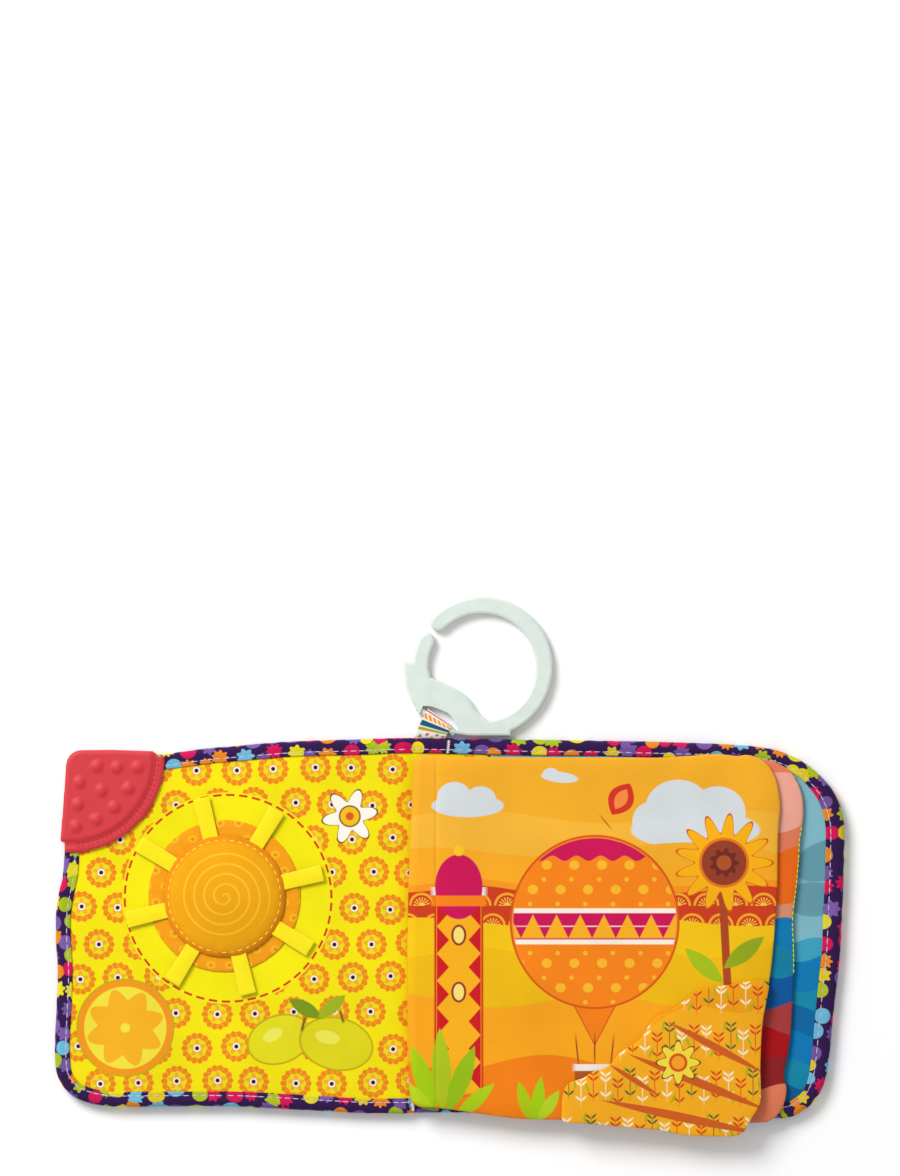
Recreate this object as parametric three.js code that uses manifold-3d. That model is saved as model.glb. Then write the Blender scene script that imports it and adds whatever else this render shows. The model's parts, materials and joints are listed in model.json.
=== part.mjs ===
// Soft crinkle book for a baby, lying open: two padded covers with bound edges on a
// cloth spine, two crinkle pages, a peek flap, a padded sun with ribbon tabs, a silicone
// corner to chew on, and a split ring held by a tape loop at the top of the spine.
// Millimetres. X runs from the front cover to the back cover, Y up the page, Z off the
// table. The origin is on the underside of the spine, at its middle.

import * as THREE from 'three';
import { mergeVertices } from 'three/addons/utils/BufferGeometryUtils.js';
import Module from 'manifold-3d';

const wasm = await Module();
wasm.setup();

// Cloth, film and the gap kept between layers that touch.
const clothThickness = 0.8;
const filmThickness = 0.4;
const layerGap = 0.3;
const cutOverrun = 5;

// Covers.
const coverHalfHeight = 85.7;
const coverThickness = 6.4;
const spineHalfWidth = 18;
const bindingWidth = 7.5;
const bindingRoll = 0.7;
const frontCover = { edge: 180.5, top: 76.5, bottom: 83.5, topRadius: 60, bottomRadius: 20 };
const backCover = { edge: 180.8, foot: 173, top: 82, bottom: 89.5, topRadius: 42, bottomRadius: 25 };

// Spine strip, thinner than the covers because it folds.
const spineThickness = 4.4;

// Pages, and where the line on which they turn stands over the spine.
const pageAxisX = -12;
const pageRoot = 8.6;
const pageThickness = 2.6;
const pageSeam = 1.2;
const pageA = { top: 77, outerTop: 79, bottom: 82, outerBottom: 89.5, edge: 151, foot: 139.5, radius: 9 };
const pageB = { top: 75.5, outerTop: 76.5, bottom: 84, outerBottom: 90, edge: 161.5, foot: 156.5, radius: 11 };

// Gussets that carry the pages from the spine.
const gussetThickness = 1.2;
const gussetInset = 1.5;

// Peek flap, sewn along the outer edge of page A.
const flapThickness = 1.9;
const flapSkin = 0.5;
const flapOverhang = 1.2;
const flapTopY = -25.5;
const flapFootY = -86;
const flapFloor = 95.7;
const flapTop = { x: pageEdgeAt(pageA, flapTopY) + flapOverhang, y: flapTopY };
const flapFoot = { x: pageEdgeAt(pageA, flapFootY) + flapOverhang, y: flapFootY };
const flapWidth = 94;
const flapTopLength = 27;
const flapCrestFall = 2;
const flapInner = { x: flapTop.x - flapWidth, y: flapFootY - flapCrestFall };
const flapCrest = { x: flapTop.x - flapTopLength, y: flapTopY - flapCrestFall };
const flapLobes = 5;
const flapLobeHeight = 3.4;
const flapCornerRadius = 9;

// Sun: ring patch, padded disc and ribbon tabs.
const sunFromEdge = 77.5;
const sunX = sunFromEdge - frontCover.edge;
const sunY = 13.5;
const sunPatchOuter = 35;
const sunPatchInner = 25;
const sunPatchThickness = 0.6;
const discRadius = 28;
const discCrown = 4.8;
const discSkin = 0.6;
const discEdgeRadius = 1.6;
const discShoulderShare = 0.6;
const rayCount = 8;
const rayReach = 46.7;
const rayWidth = 7.4;
const rayTipWidth = 7.9;
const rayThickness = 0.6;
const rayFirstAngle = 13.5;

// Silicone corner.
const teetherCentreInset = 6.5;
const teetherCentreRise = 0.5;
const teetherX = teetherCentreInset - frontCover.edge;
const teetherY = frontCover.top + teetherCentreRise;
const teetherBodyRadius = 38.8;
const teetherFlangeRadius = 43.7;
const teetherFlangeThickness = 1.4;
const teetherThickness = 8.8;
const teetherLapTop = 3;
const teetherLapSide = 1.3;
const teetherLapFoot = 5.6;
const teetherTopY = teetherY + teetherLapTop;
const teetherSideX = teetherX - teetherLapSide;
const teetherFootX = teetherX - teetherLapFoot;
const teetherCornerRadius = 7;
const teetherRound = 1.1;
const teetherBumpRadius = 2.2;
const teetherBumpHeight = 1.1;
const teetherBumps = [
  [13, -4], [22.2, -4.7], [31.6, -4.7], [5, -11.5], [15, -15.2],
  [27.2, -14.4], [4.2, -21.6], [20.8, -22.7], [12.6, -28.4], [3.3, -31.6],
];

// Split ring.
const ringX = 14.65;
const ringRiseY = 32.5;
const ringY = coverHalfHeight + ringRiseY;
const ringInner = 24.5;
const ringOuter = 32.3;
const ringThickness = 4.4;
const ringRise = 0.3;
const ringRound = 1.2;
const ringFootRadius = 35.9;
const ringFootClearance = 2.8;
const ringFootY = coverHalfHeight + ringFootClearance;
const ringFootLength = 13.25;
const ringFootEndX = ringX + ringFootLength;
const ringToeClearance = 0.9;
const ringToeY = coverHalfHeight + ringToeClearance;
const ringToeBack = 5.65;
const ringToeX = ringX - ringToeBack;
const ringSegment = 2.4;
const ringShoulderAngle = 176;
const ringArmOuter = 31.7;
const ringTipAngle = 147;
const ringMouthAngle = 142.5;
const ringWebStartAngle = 182;
const ringWebEndAngle = -82;
const ringMoundShares = [[-0.96, -0.2], [-0.62, -0.34], [-0.3, -0.53], [-0.09, -0.84], [0.1, -0.98]];
const ringSlotShares = [
  [-1.1, -0.725], [-0.95, -0.735], [-0.79, -0.79], [-0.61, -0.88], [-0.49, -1.05], [-0.44, -1.19],
];
const barRadius = 1.4;
const barStartFromRing = { x: -29.65, y: -18.7 };
const barEndFromRing = { x: -12.65, y: -30.6 };
const barStart = { x: ringX + barStartFromRing.x, y: ringY + barStartFromRing.y };
const barEnd = { x: ringX + barEndFromRing.x, y: ringY + barEndFromRing.y };
const barWindowStart = 3.0;
const barWindowEnd = 2.4;
const slotOutShare = 3;

// Tape loop that holds the ring.
const tapeThickness = 0.6;
const tapeSeamGap = 0.5;
const tapeSeamY = coverHalfHeight + tapeSeamGap;
const tapeSeamOut = 2;
const tapeSeamIn = 4.4;
const tapeSeamStart = barStart.x - tapeSeamOut;
const tapeSeamEnd = barEnd.x - tapeSeamIn;
const tapeFarStartFromRing = { x: -24.7, y: -18.6 };
const tapeFarEndFromRing = { x: -13.86, y: -25.6 };
const tapeFarStart = { x: ringX + tapeFarStartFromRing.x, y: ringY + tapeFarStartFromRing.y };
const tapeFarEnd = { x: ringX + tapeFarEndFromRing.x, y: ringY + tapeFarEndFromRing.y };
const tapeSections = 6;

const curveSteps = 6;
const discSegments = 36;

const colours = {
  yellowCloth: 0xe9de00, blueCloth: 0x90c4d2, binding: 0x42185c, shell: 0x2c8fae,
  batting: 0xf4f2ea, film: 0xd9dee2, silicone: 0xe83842, orange: 0xf39e05,
  golden: 0xf7b00e, ribbon: 0xfae80a, page: 0xf3b230, pageBack: 0xe28264,
  flap: 0xf4c020, tape: 0xf2f0ea, plastic: 0xd7e1d9,
};

function finish(colour, roughness = 0.9) {
  return new THREE.MeshStandardMaterial({ color: colour, roughness, metalness: 0 });
}

// Solids are kept as manifolds while they are cut, and become meshes at the end.
function solidOf(geometry) {
  const bare = geometry.clone();
  bare.deleteAttribute('normal');
  bare.deleteAttribute('uv');
  const merged = mergeVertices(bare, layerGap / 1000);
  const vertProperties = new Float32Array(merged.attributes.position.array);
  const triVerts = new Uint32Array(merged.index.array);
  return new wasm.Manifold(new wasm.Mesh({ numProp: 3, vertProperties, triVerts }));
}

function meshOf(name, solid, colour, roughness) {
  const { vertProperties, triVerts } = solid.getMesh();
  const geometry = new THREE.BufferGeometry();
  geometry.setAttribute('position', new THREE.BufferAttribute(new Float32Array(vertProperties), 3));
  geometry.setIndex(Array.from(triVerts));
  geometry.computeVertexNormals();
  const mesh = new THREE.Mesh(geometry, finish(colour, roughness));
  mesh.name = name;
  return mesh;
}

// A flat shape given thickness between two heights.
function slab(shape, low, high, round = 0) {
  const geometry = new THREE.ExtrudeGeometry(shape, {
    depth: high - low - 2 * round,
    curveSegments: curveSteps,
    bevelEnabled: round > 0,
    bevelThickness: round,
    bevelSize: round,
    bevelOffset: -round,
    bevelSegments: 2,
  });
  geometry.translate(0, 0, low + round);
  return solidOf(geometry);
}

// Closed outline through corners [x, y, radius], each rounded by its radius.
function roundedShape(corners) {
  const shape = new THREE.Shape();
  corners.forEach(([x, y, radius], i) => {
    const here = new THREE.Vector2(x, y);
    const before = corners[(i + corners.length - 1) % corners.length];
    const after = corners[(i + 1) % corners.length];
    const back = new THREE.Vector2(before[0], before[1]).sub(here).setLength(radius).add(here);
    const on = new THREE.Vector2(after[0], after[1]).sub(here).setLength(radius).add(here);
    if (i === 0) shape.moveTo(back.x, back.y);
    else shape.lineTo(back.x, back.y);
    if (radius > 0) shape.quadraticCurveTo(x, y, on.x, on.y);
  });
  shape.closePath();
  return shape;
}

// The same outline without the doubled points where its arcs meet.
function tidyShape(shape) {
  const points = shape.getPoints(curveSteps);
  const kept = points.filter((p, i) => p.distanceTo(points[(i + 1) % points.length]) > layerGap / 2);
  return new THREE.Shape(kept);
}

// An outline whose curves are divided into pieces of about one length.
function evenShape(shape, segment) {
  const points = shape.curves.flatMap((curve) => {
    const count = curve.isLineCurve ? 1 : Math.max(2, Math.ceil(curve.getLength() / segment));
    return curve.getPoints(count).slice(0, -1);
  });
  const kept = points.filter((p, i) => p.distanceTo(points[(i + 1) % points.length]) > layerGap / 2);
  return new THREE.Shape(kept);
}

function discShape(x, y, radius) {
  const curve = new THREE.EllipseCurve(x, y, radius, radius, 0, 2 * Math.PI, false);
  return new THREE.Shape(curve.getPoints(discSegments).slice(0, -1));
}

// Height of a cover's long edge where it reaches an X near the spine.
function edgeHeight(outerX, outerY, x) {
  const share = (Math.abs(outerX) - Math.abs(x)) / (Math.abs(outerX) - spineHalfWidth);
  return outerY + (coverHalfHeight - outerY) * share;
}

// Cover outlines, drawn in from the bound edge by an inset and ending at the spine side.
function frontOutline(inset, spineX = -spineHalfWidth - layerGap) {
  const { edge, top, bottom, topRadius, bottomRadius } = frontCover;
  return roundedShape([
    [spineX, edgeHeight(edge, top, spineX) - inset, 0],
    [-edge + inset, top - inset, topRadius - inset],
    [-edge + inset, -bottom + inset, bottomRadius - inset],
    [spineX, -edgeHeight(edge, bottom, spineX) + inset, 0],
  ]);
}

function backOutline(inset, spineX = spineHalfWidth + layerGap) {
  const { edge, foot, top, bottom, topRadius, bottomRadius } = backCover;
  return roundedShape([
    [spineX, -edgeHeight(foot, bottom, spineX) + inset, 0],
    [foot - inset, -bottom + inset, bottomRadius - inset],
    [edge - inset, top - inset, topRadius - inset],
    [spineX, edgeHeight(edge, top, spineX) - inset, 0],
  ]);
}

function spineOutline(inset, halfWidth = spineHalfWidth) {
  return roundedShape([
    [-halfWidth, -coverHalfHeight + inset, 0],
    [halfWidth, -coverHalfHeight + inset, 0],
    [halfWidth, coverHalfHeight - inset, 0],
    [-halfWidth, coverHalfHeight - inset, 0],
  ]);
}

// A sheet whose rim lies in the binding at one height and whose middle stands out of it.
function reliefSheet(outline, rimInset, middleInset, thickness, rimLow, middleLow) {
  const rim = slab(outline(rimInset), rimLow, rimLow + thickness);
  const low = Math.min(rimLow, middleLow);
  const high = Math.max(rimLow, middleLow) + thickness;
  const middle = slab(outline(middleInset), low, high);
  const raised = middleLow > rimLow;
  const hollowLow = raised ? low - cutOverrun : low + thickness;
  const hollowHigh = raised ? high - thickness : high + cutOverrun;
  const hollow = slab(outline(middleInset + thickness, 0), hollowLow, hollowHigh);
  return rim.add(middle).subtract(hollow);
}

// Folded edging: the outer roll, less the pocket for the layers and the open panel.
function edging(outline, thickness) {
  const pocketLow = clothThickness;
  const pocketHigh = thickness - clothThickness;
  const roll = slab(outline(0), 0, thickness, bindingRoll);
  const pocket = slab(outline(clothThickness, 0), pocketLow, pocketHigh);
  const panel = slab(outline(bindingWidth, 0), -cutOverrun, thickness + cutOverrun);
  return roll.subtract(pocket).subtract(panel);
}

// Heights of the layers of a cover or spine of a given thickness.
function layerHeights(thickness) {
  const shellRim = clothThickness + layerGap;
  const liningRim = thickness - shellRim - clothThickness;
  const filmRim = liningRim - layerGap - filmThickness;
  const liningPanel = thickness - clothThickness;
  const filmPanel = liningPanel - layerGap - filmThickness;
  return { shellRim, liningRim, filmRim, liningPanel, filmPanel };
}

const rimInset = clothThickness + layerGap;
const panelInset = bindingWidth + layerGap;
const filmInset = panelInset + clothThickness + layerGap;
const battingInset = filmInset + filmThickness + layerGap;

// The silicone corner takes a round bite out of every layer of the front cover.
const teetherBite = slab(
  discShape(teetherX, teetherY, teetherBodyRadius + layerGap), -cutOverrun, coverThickness + cutOverrun);

function coverLayers(side, outline, bite) {
  const heights = layerHeights(coverThickness);
  const { shellRim, liningRim, filmRim, liningPanel, filmPanel } = heights;
  const battingRimLow = shellRim + clothThickness + layerGap;
  const battingRimHigh = filmRim - layerGap;
  const battingRim = slab(outline(rimInset), battingRimLow, battingRimHigh);
  const battingPanel = slab(outline(battingInset), clothThickness + layerGap, filmPanel - layerGap);
  const layers = {
    binding: edging(outline, coverThickness),
    outer_shell: reliefSheet(outline, rimInset, panelInset, clothThickness, shellRim, 0),
    batting: battingRim.add(battingPanel),
    crinkle_film: reliefSheet(outline, rimInset, filmInset, filmThickness, filmRim, filmPanel),
    lining: reliefSheet(outline, rimInset, panelInset, clothThickness, liningRim, liningPanel),
  };
  const liningColour = side === 'front' ? colours.yellowCloth : colours.blueCloth;
  const layerColours = {
    binding: colours.binding, outer_shell: colours.shell, batting: colours.batting,
    crinkle_film: colours.film, lining: liningColour,
  };
  return Object.entries(layers).flatMap(([layer, solid]) => {
    const name = `${side}_${layer}`;
    const lengths = bite ? solid.subtract(bite).decompose() : [solid];
    lengths.sort((a, b) => b.volume() - a.volume());
    return lengths.map((length, i) => meshOf(i === 0 ? name : `${name}_top`, length, layerColours[layer]));
  });
}

function spinePieces() {
  const { shellRim, liningRim, liningPanel } = layerHeights(spineThickness);
  const halfWidth = spineHalfWidth;
  const wide = (inset, sideX) => spineOutline(inset, sideX === 0 ? halfWidth + cutOverrun : halfWidth);
  const wrap = edging(wide, spineThickness);
  const upper = slab(
    roundedShape([[-edgeOfAll, 0, 0], [edgeOfAll, 0, 0], [edgeOfAll, edgeOfAll, 0], [-edgeOfAll, edgeOfAll, 0]]),
    -cutOverrun, spineThickness + cutOverrun);
  return [
    meshOf('spine_shell',
      reliefSheet(wide, rimInset, panelInset, clothThickness, shellRim, 0), colours.shell),
    meshOf('spine_lining',
      reliefSheet(wide, rimInset, panelInset, clothThickness, liningRim, liningPanel), colours.yellowCloth),
    meshOf('spine_binding_top', wrap.intersect(upper), colours.binding),
    meshOf('spine_binding_bottom', wrap.subtract(upper), colours.binding),
  ];
}

// Where a page's slanting outer edge stands at a height up the page.
function pageEdgeAt({ outerTop, outerBottom, edge, foot }, y) {
  return foot + ((edge - foot) * (y + outerBottom)) / (outerTop + outerBottom);
}

// A page: face cloth turned down at its seam, crinkle film in the pocket, back cloth.
function pageLayers(name, outline, low, thickness, skin, faceColour, backColour) {
  const faceLow = low + skin + layerGap;
  const high = low + thickness;
  const pocket = slab(outline(pageSeam), faceLow - cutOverrun, high - skin);
  const face = slab(outline(0), faceLow, high).subtract(pocket);
  const film = slab(outline(pageSeam + layerGap), faceLow, faceLow + filmOf(thickness, skin));
  return [
    meshOf(`${name}_face_cloth`, face, faceColour),
    meshOf(`${name}_crinkle_film`, film, colours.film, 0.3),
    meshOf(`${name}_back_cloth`, slab(outline(0), low, low + skin), backColour),
  ];
}

function filmOf(thickness, skin) {
  return thickness - 2 * skin - 2 * layerGap;
}

function pageOutline({ top, outerTop, bottom, outerBottom, edge, foot, radius }) {
  const rootX = pageAxisX + pageRoot;
  return (inset) => roundedShape([
    [rootX + inset, -bottom + inset, 0],
    [foot - inset, -outerBottom + inset, radius],
    [edge - inset, outerTop - inset, radius],
    [rootX + inset, top - inset, 0],
  ]);
}

const pageBLow = coverThickness + layerGap;
const pageALow = pageBLow + pageThickness + layerGap;
const flapLow = pageALow + pageThickness + layerGap;
const edgeOfAll = backCover.edge + coverHalfHeight;

// A gusset rises from the spine, bends over and runs level into its page.
function gusset(name, footX, pageLow, halfHeightTop, halfHeightBottom, colour) {
  const endX = pageAxisX + pageRoot - layerGap;
  const footZ = spineThickness + layerGap;
  const levelZ = pageLow + pageThickness / 2 - gussetThickness / 2;
  const bend = levelZ - footZ;
  const profile = new THREE.Shape();
  profile.moveTo(footX, footZ);
  profile.quadraticCurveTo(footX, levelZ + gussetThickness, footX + bend, levelZ + gussetThickness);
  profile.lineTo(endX, levelZ + gussetThickness);
  profile.lineTo(endX, levelZ);
  profile.lineTo(footX + bend, levelZ);
  profile.quadraticCurveTo(footX + gussetThickness, levelZ, footX + gussetThickness, footZ);
  profile.closePath();
  const length = halfHeightTop + halfHeightBottom - 2 * gussetInset;
  const geometry = new THREE.ExtrudeGeometry(profile, {
    depth: length, curveSegments: curveSteps, bevelEnabled: false,
  });
  geometry.rotateX(Math.PI / 2);
  geometry.translate(0, halfHeightTop - gussetInset, 0);
  return meshOf(name, solidOf(geometry), colour);
}

// An outline drawn in by the same distance everywhere.
function drawnIn(shape, inset) {
  const points = shape.getPoints(curveSteps);
  const count = points.length;
  return new THREE.Shape(points.map((p, i) => {
    const before = p.clone().sub(points[(i + count - 1) % count]).normalize();
    const after = points[(i + 1) % count].clone().sub(p).normalize();
    const normal = new THREE.Vector2(-before.y - after.y, before.x + after.x).normalize();
    const stretch = Math.max(normal.dot(new THREE.Vector2(-before.y, before.x)), Math.SQRT1_2);
    return p.clone().addScaledVector(normal, inset / stretch);
  }));
}

// The flap's free edge falls from its crest to its inner foot in a run of round lobes.
function flapOutline(inset) {
  const shape = new THREE.Shape();
  shape.moveTo(flapCrest.x, flapCrest.y);
  const lobesEndY = flapInner.y + flapCornerRadius * 2;
  const stepX = (flapInner.x - flapCrest.x) / flapLobes;
  const stepY = (lobesEndY - flapCrest.y) / flapLobes;
  for (let i = 0; i < flapLobes; i += 1) {
    const fromX = flapCrest.x + stepX * i;
    const fromY = flapCrest.y + stepY * i;
    shape.quadraticCurveTo(
      fromX + stepX / 2 - flapLobeHeight, fromY + stepY / 2 + flapLobeHeight,
      fromX + stepX, fromY + stepY);
  }
  shape.lineTo(flapInner.x, flapInner.y + flapCornerRadius);
  shape.quadraticCurveTo(flapInner.x, flapInner.y, flapInner.x + flapCornerRadius, flapInner.y);
  shape.lineTo(flapCrest.x - flapCornerRadius, -flapFloor);
  shape.lineTo(flapFoot.x - flapCornerRadius, -flapFloor);
  shape.quadraticCurveTo(flapFoot.x, -flapFloor, flapFoot.x, flapFoot.y);
  shape.lineTo(flapTop.x, flapTop.y);
  return drawnIn(tidyShape(shape), inset);
}

function sunPieces() {
  const patchLow = coverThickness + layerGap;
  const patchHigh = patchLow + sunPatchThickness;
  const patch = slab(discShape(sunX, sunY, sunPatchOuter), patchLow, patchHigh)
    .subtract(slab(discShape(sunX, sunY, sunPatchInner), patchLow - cutOverrun, patchHigh + cutOverrun));
  const seat = patchHigh + layerGap;
  const inner = { radius: discRadius - discSkin, crown: discCrown - discSkin };
  const stuffing = { radius: inner.radius - layerGap, crown: inner.crown - layerGap };
  const crownLine = (radius, crown, edge) => {
    const curve = new THREE.CubicBezierCurve(
      new THREE.Vector2(radius, 0), new THREE.Vector2(radius, edge + crown / 2),
      new THREE.Vector2(radius * discShoulderShare, crown), new THREE.Vector2(0, crown));
    return curve.getPoints(2 * curveSteps);
  };
  const cover = [
    ...crownLine(discRadius, discCrown, discEdgeRadius),
    ...crownLine(inner.radius, inner.crown, discEdgeRadius - discSkin).reverse(),
  ];
  const coverProfile = [...cover, cover[0]].map((p) => new THREE.Vector2(Math.max(p.x, 0), p.y));
  const plugDepth = layerGap + sunPatchThickness;
  const plugRadius = sunPatchInner - layerGap;
  const pad = [
    new THREE.Vector2(0, -plugDepth),
    new THREE.Vector2(plugRadius, -plugDepth),
    new THREE.Vector2(plugRadius, 0),
    ...crownLine(stuffing.radius, stuffing.crown, discEdgeRadius - discSkin),
  ];
  return [
    meshOf('sun_ring_patch', patch, colours.orange),
    turned('sun_disc_cover', coverProfile, seat, colours.golden),
    turned('sun_stuffing', pad, seat, colours.batting),
  ];
}

// A profile of radius and height, turned about the sun's upright middle line.
function turned(name, profile, seat, colour) {
  const geometry = new THREE.LatheGeometry(profile, discSegments);
  geometry.rotateX(Math.PI / 2);
  geometry.translate(sunX, sunY, seat);
  return meshOf(name, solidOf(geometry), colour);
}

function rayTabs() {
  const low = coverThickness + 2 * layerGap + sunPatchThickness;
  const start = discRadius + layerGap;
  return Array.from({ length: rayCount }, (_, i) => {
    const ribbon = slab(roundedShape([
      [start, -rayWidth / 2, 0],
      [rayReach, -rayTipWidth / 2, rayThickness],
      [rayReach, rayTipWidth / 2, rayThickness],
      [start, rayWidth / 2, 0],
    ]), low, low + rayThickness);
    const mesh = meshOf(`sun_ray_tab_${i + 1}`, ribbon, colours.ribbon);
    mesh.position.set(sunX, sunY, 0);
    mesh.rotation.z = THREE.MathUtils.degToRad(rayFirstAngle + (360 / rayCount) * i);
    return mesh;
  });
}

// Silicone corner: a thick quarter body with a thin flange lapped over the cover.
function teether() {
  const reach = teetherFlangeRadius + teetherCornerRadius;
  const quadrant = roundedShape([
    [teetherSideX, teetherTopY, teetherCornerRadius],
    [teetherFootX, teetherY - reach, 0],
    [teetherX + reach, teetherY - reach, 0],
    [teetherX + reach, teetherTopY, 0],
  ]);
  const sector = (radius, low, high, round) => slab(quadrant, low, high, round)
    .intersect(slab(discShape(teetherX, teetherY, radius), low, high, round));
  const flangeLow = coverThickness + layerGap;
  const body = sector(teetherBodyRadius, layerGap, teetherThickness, teetherRound);
  const flange = sector(teetherFlangeRadius, flangeLow, flangeLow + teetherFlangeThickness);
  const bumps = teetherBumps.map(([x, y]) => {
    const dome = new THREE.SphereGeometry(1, 10, 6);
    dome.scale(teetherBumpRadius, teetherBumpRadius, teetherBumpHeight);
    dome.translate(teetherX + x, teetherY + y, teetherThickness);
    return solidOf(dome);
  });
  return meshOf('teether_corner', bumps.reduce((a, b) => a.add(b), body.add(flange)), colours.silicone, 0.35);
}

// Point at a polar place about the ring's centre.
function onRing(radius, degrees) {
  const angle = THREE.MathUtils.degToRad(degrees);
  return new THREE.Vector2(ringX + radius * Math.cos(angle), ringY + radius * Math.sin(angle));
}

function byShares(shares) {
  return shares.map(([x, y]) => new THREE.Vector2(ringX + ringInner * x, ringY + ringInner * y));
}

function ringBody() {
  const rad = THREE.MathUtils.degToRad;
  const deg = THREE.MathUtils.radToDeg;
  const shape = new THREE.Shape();
  const tipRadius = (ringArmOuter - ringInner) / 2;
  const tipAngle = ringTipAngle + deg(tipRadius / (ringInner + tipRadius));
  const tip = onRing(ringInner + tipRadius, tipAngle);
  const mouthRadius = (ringOuter - ringInner) / 2;
  const mouthAngle = ringMouthAngle - deg(mouthRadius / (ringInner + mouthRadius));
  const mouth = onRing(ringInner + mouthRadius, mouthAngle);
  const footEnd = Math.acos((ringFootEndX - ringX) / ringOuter);
  const footAngle = 180 + deg(Math.asin((ringY - ringFootY) / ringFootRadius));
  shape.absarc(tip.x, tip.y, tipRadius, rad(tipAngle - 180), rad(tipAngle), false);
  shape.absarc(ringX, ringY, ringArmOuter, rad(tipAngle), rad(ringShoulderAngle), false);
  shape.absarc(ringX, ringY, ringFootRadius, rad(ringShoulderAngle), rad(footAngle), false);
  shape.lineTo(ringToeX, ringToeY);
  shape.lineTo(ringFootEndX, ringToeY);
  shape.absarc(ringX, ringY, ringOuter, -footEnd, rad(mouthAngle), false);
  shape.absarc(mouth.x, mouth.y, mouthRadius, rad(mouthAngle), rad(mouthAngle + 180), false);
  shape.absarc(ringX, ringY, ringInner, rad(mouthAngle), rad(ringWebEndAngle), true);
  shape.splineThru(byShares(ringMoundShares).reverse());
  shape.absarc(ringX, ringY, ringInner, rad(ringWebStartAngle), rad(tipAngle), true);
  shape.closePath();
  return evenShape(shape, ringSegment);
}

// The slot beside the bar, opened to the outside so that the round bar closes it.
function ringSlot() {
  const along = new THREE.Vector2(barEnd.x - barStart.x, barEnd.y - barStart.y).normalize();
  const out = new THREE.Vector2(along.y, -along.x).multiplyScalar(-barRadius * slotOutShare);
  const first = along.clone().multiplyScalar(barWindowStart).add(barStart);
  const last = along.clone().multiplyScalar(-barWindowEnd).add(barEnd);
  const shape = new THREE.Shape();
  const upper = byShares(ringSlotShares);
  shape.moveTo(first.x - out.x, first.y - out.y);
  shape.lineTo(upper[0].x, upper[0].y);
  shape.splineThru(upper.slice(1));
  shape.lineTo(last.x, last.y);
  shape.lineTo(last.x - out.x, last.y - out.y);
  shape.closePath();
  return evenShape(shape, ringSegment);
}

function clipRing() {
  const high = ringRise + ringThickness;
  const body = slab(ringBody(), ringRise, high, ringRound);
  const slot = slab(ringSlot(), ringRise - cutOverrun, high + cutOverrun);
  const start = new THREE.Vector3(barStart.x, barStart.y, ringRise + ringThickness / 2);
  const end = new THREE.Vector3(barEnd.x, barEnd.y, ringRise + ringThickness / 2);
  const bar = new THREE.CylinderGeometry(barRadius, barRadius, start.distanceTo(end), 12);
  bar.applyQuaternion(new THREE.Quaternion().setFromUnitVectors(
    new THREE.Vector3(0, 1, 0), end.clone().sub(start).normalize()));
  bar.translate((start.x + end.x) / 2, (start.y + end.y) / 2, start.z);
  return meshOf('clip_ring', body.subtract(slot).add(solidOf(bar)), colours.plastic, 0.45);
}

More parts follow.
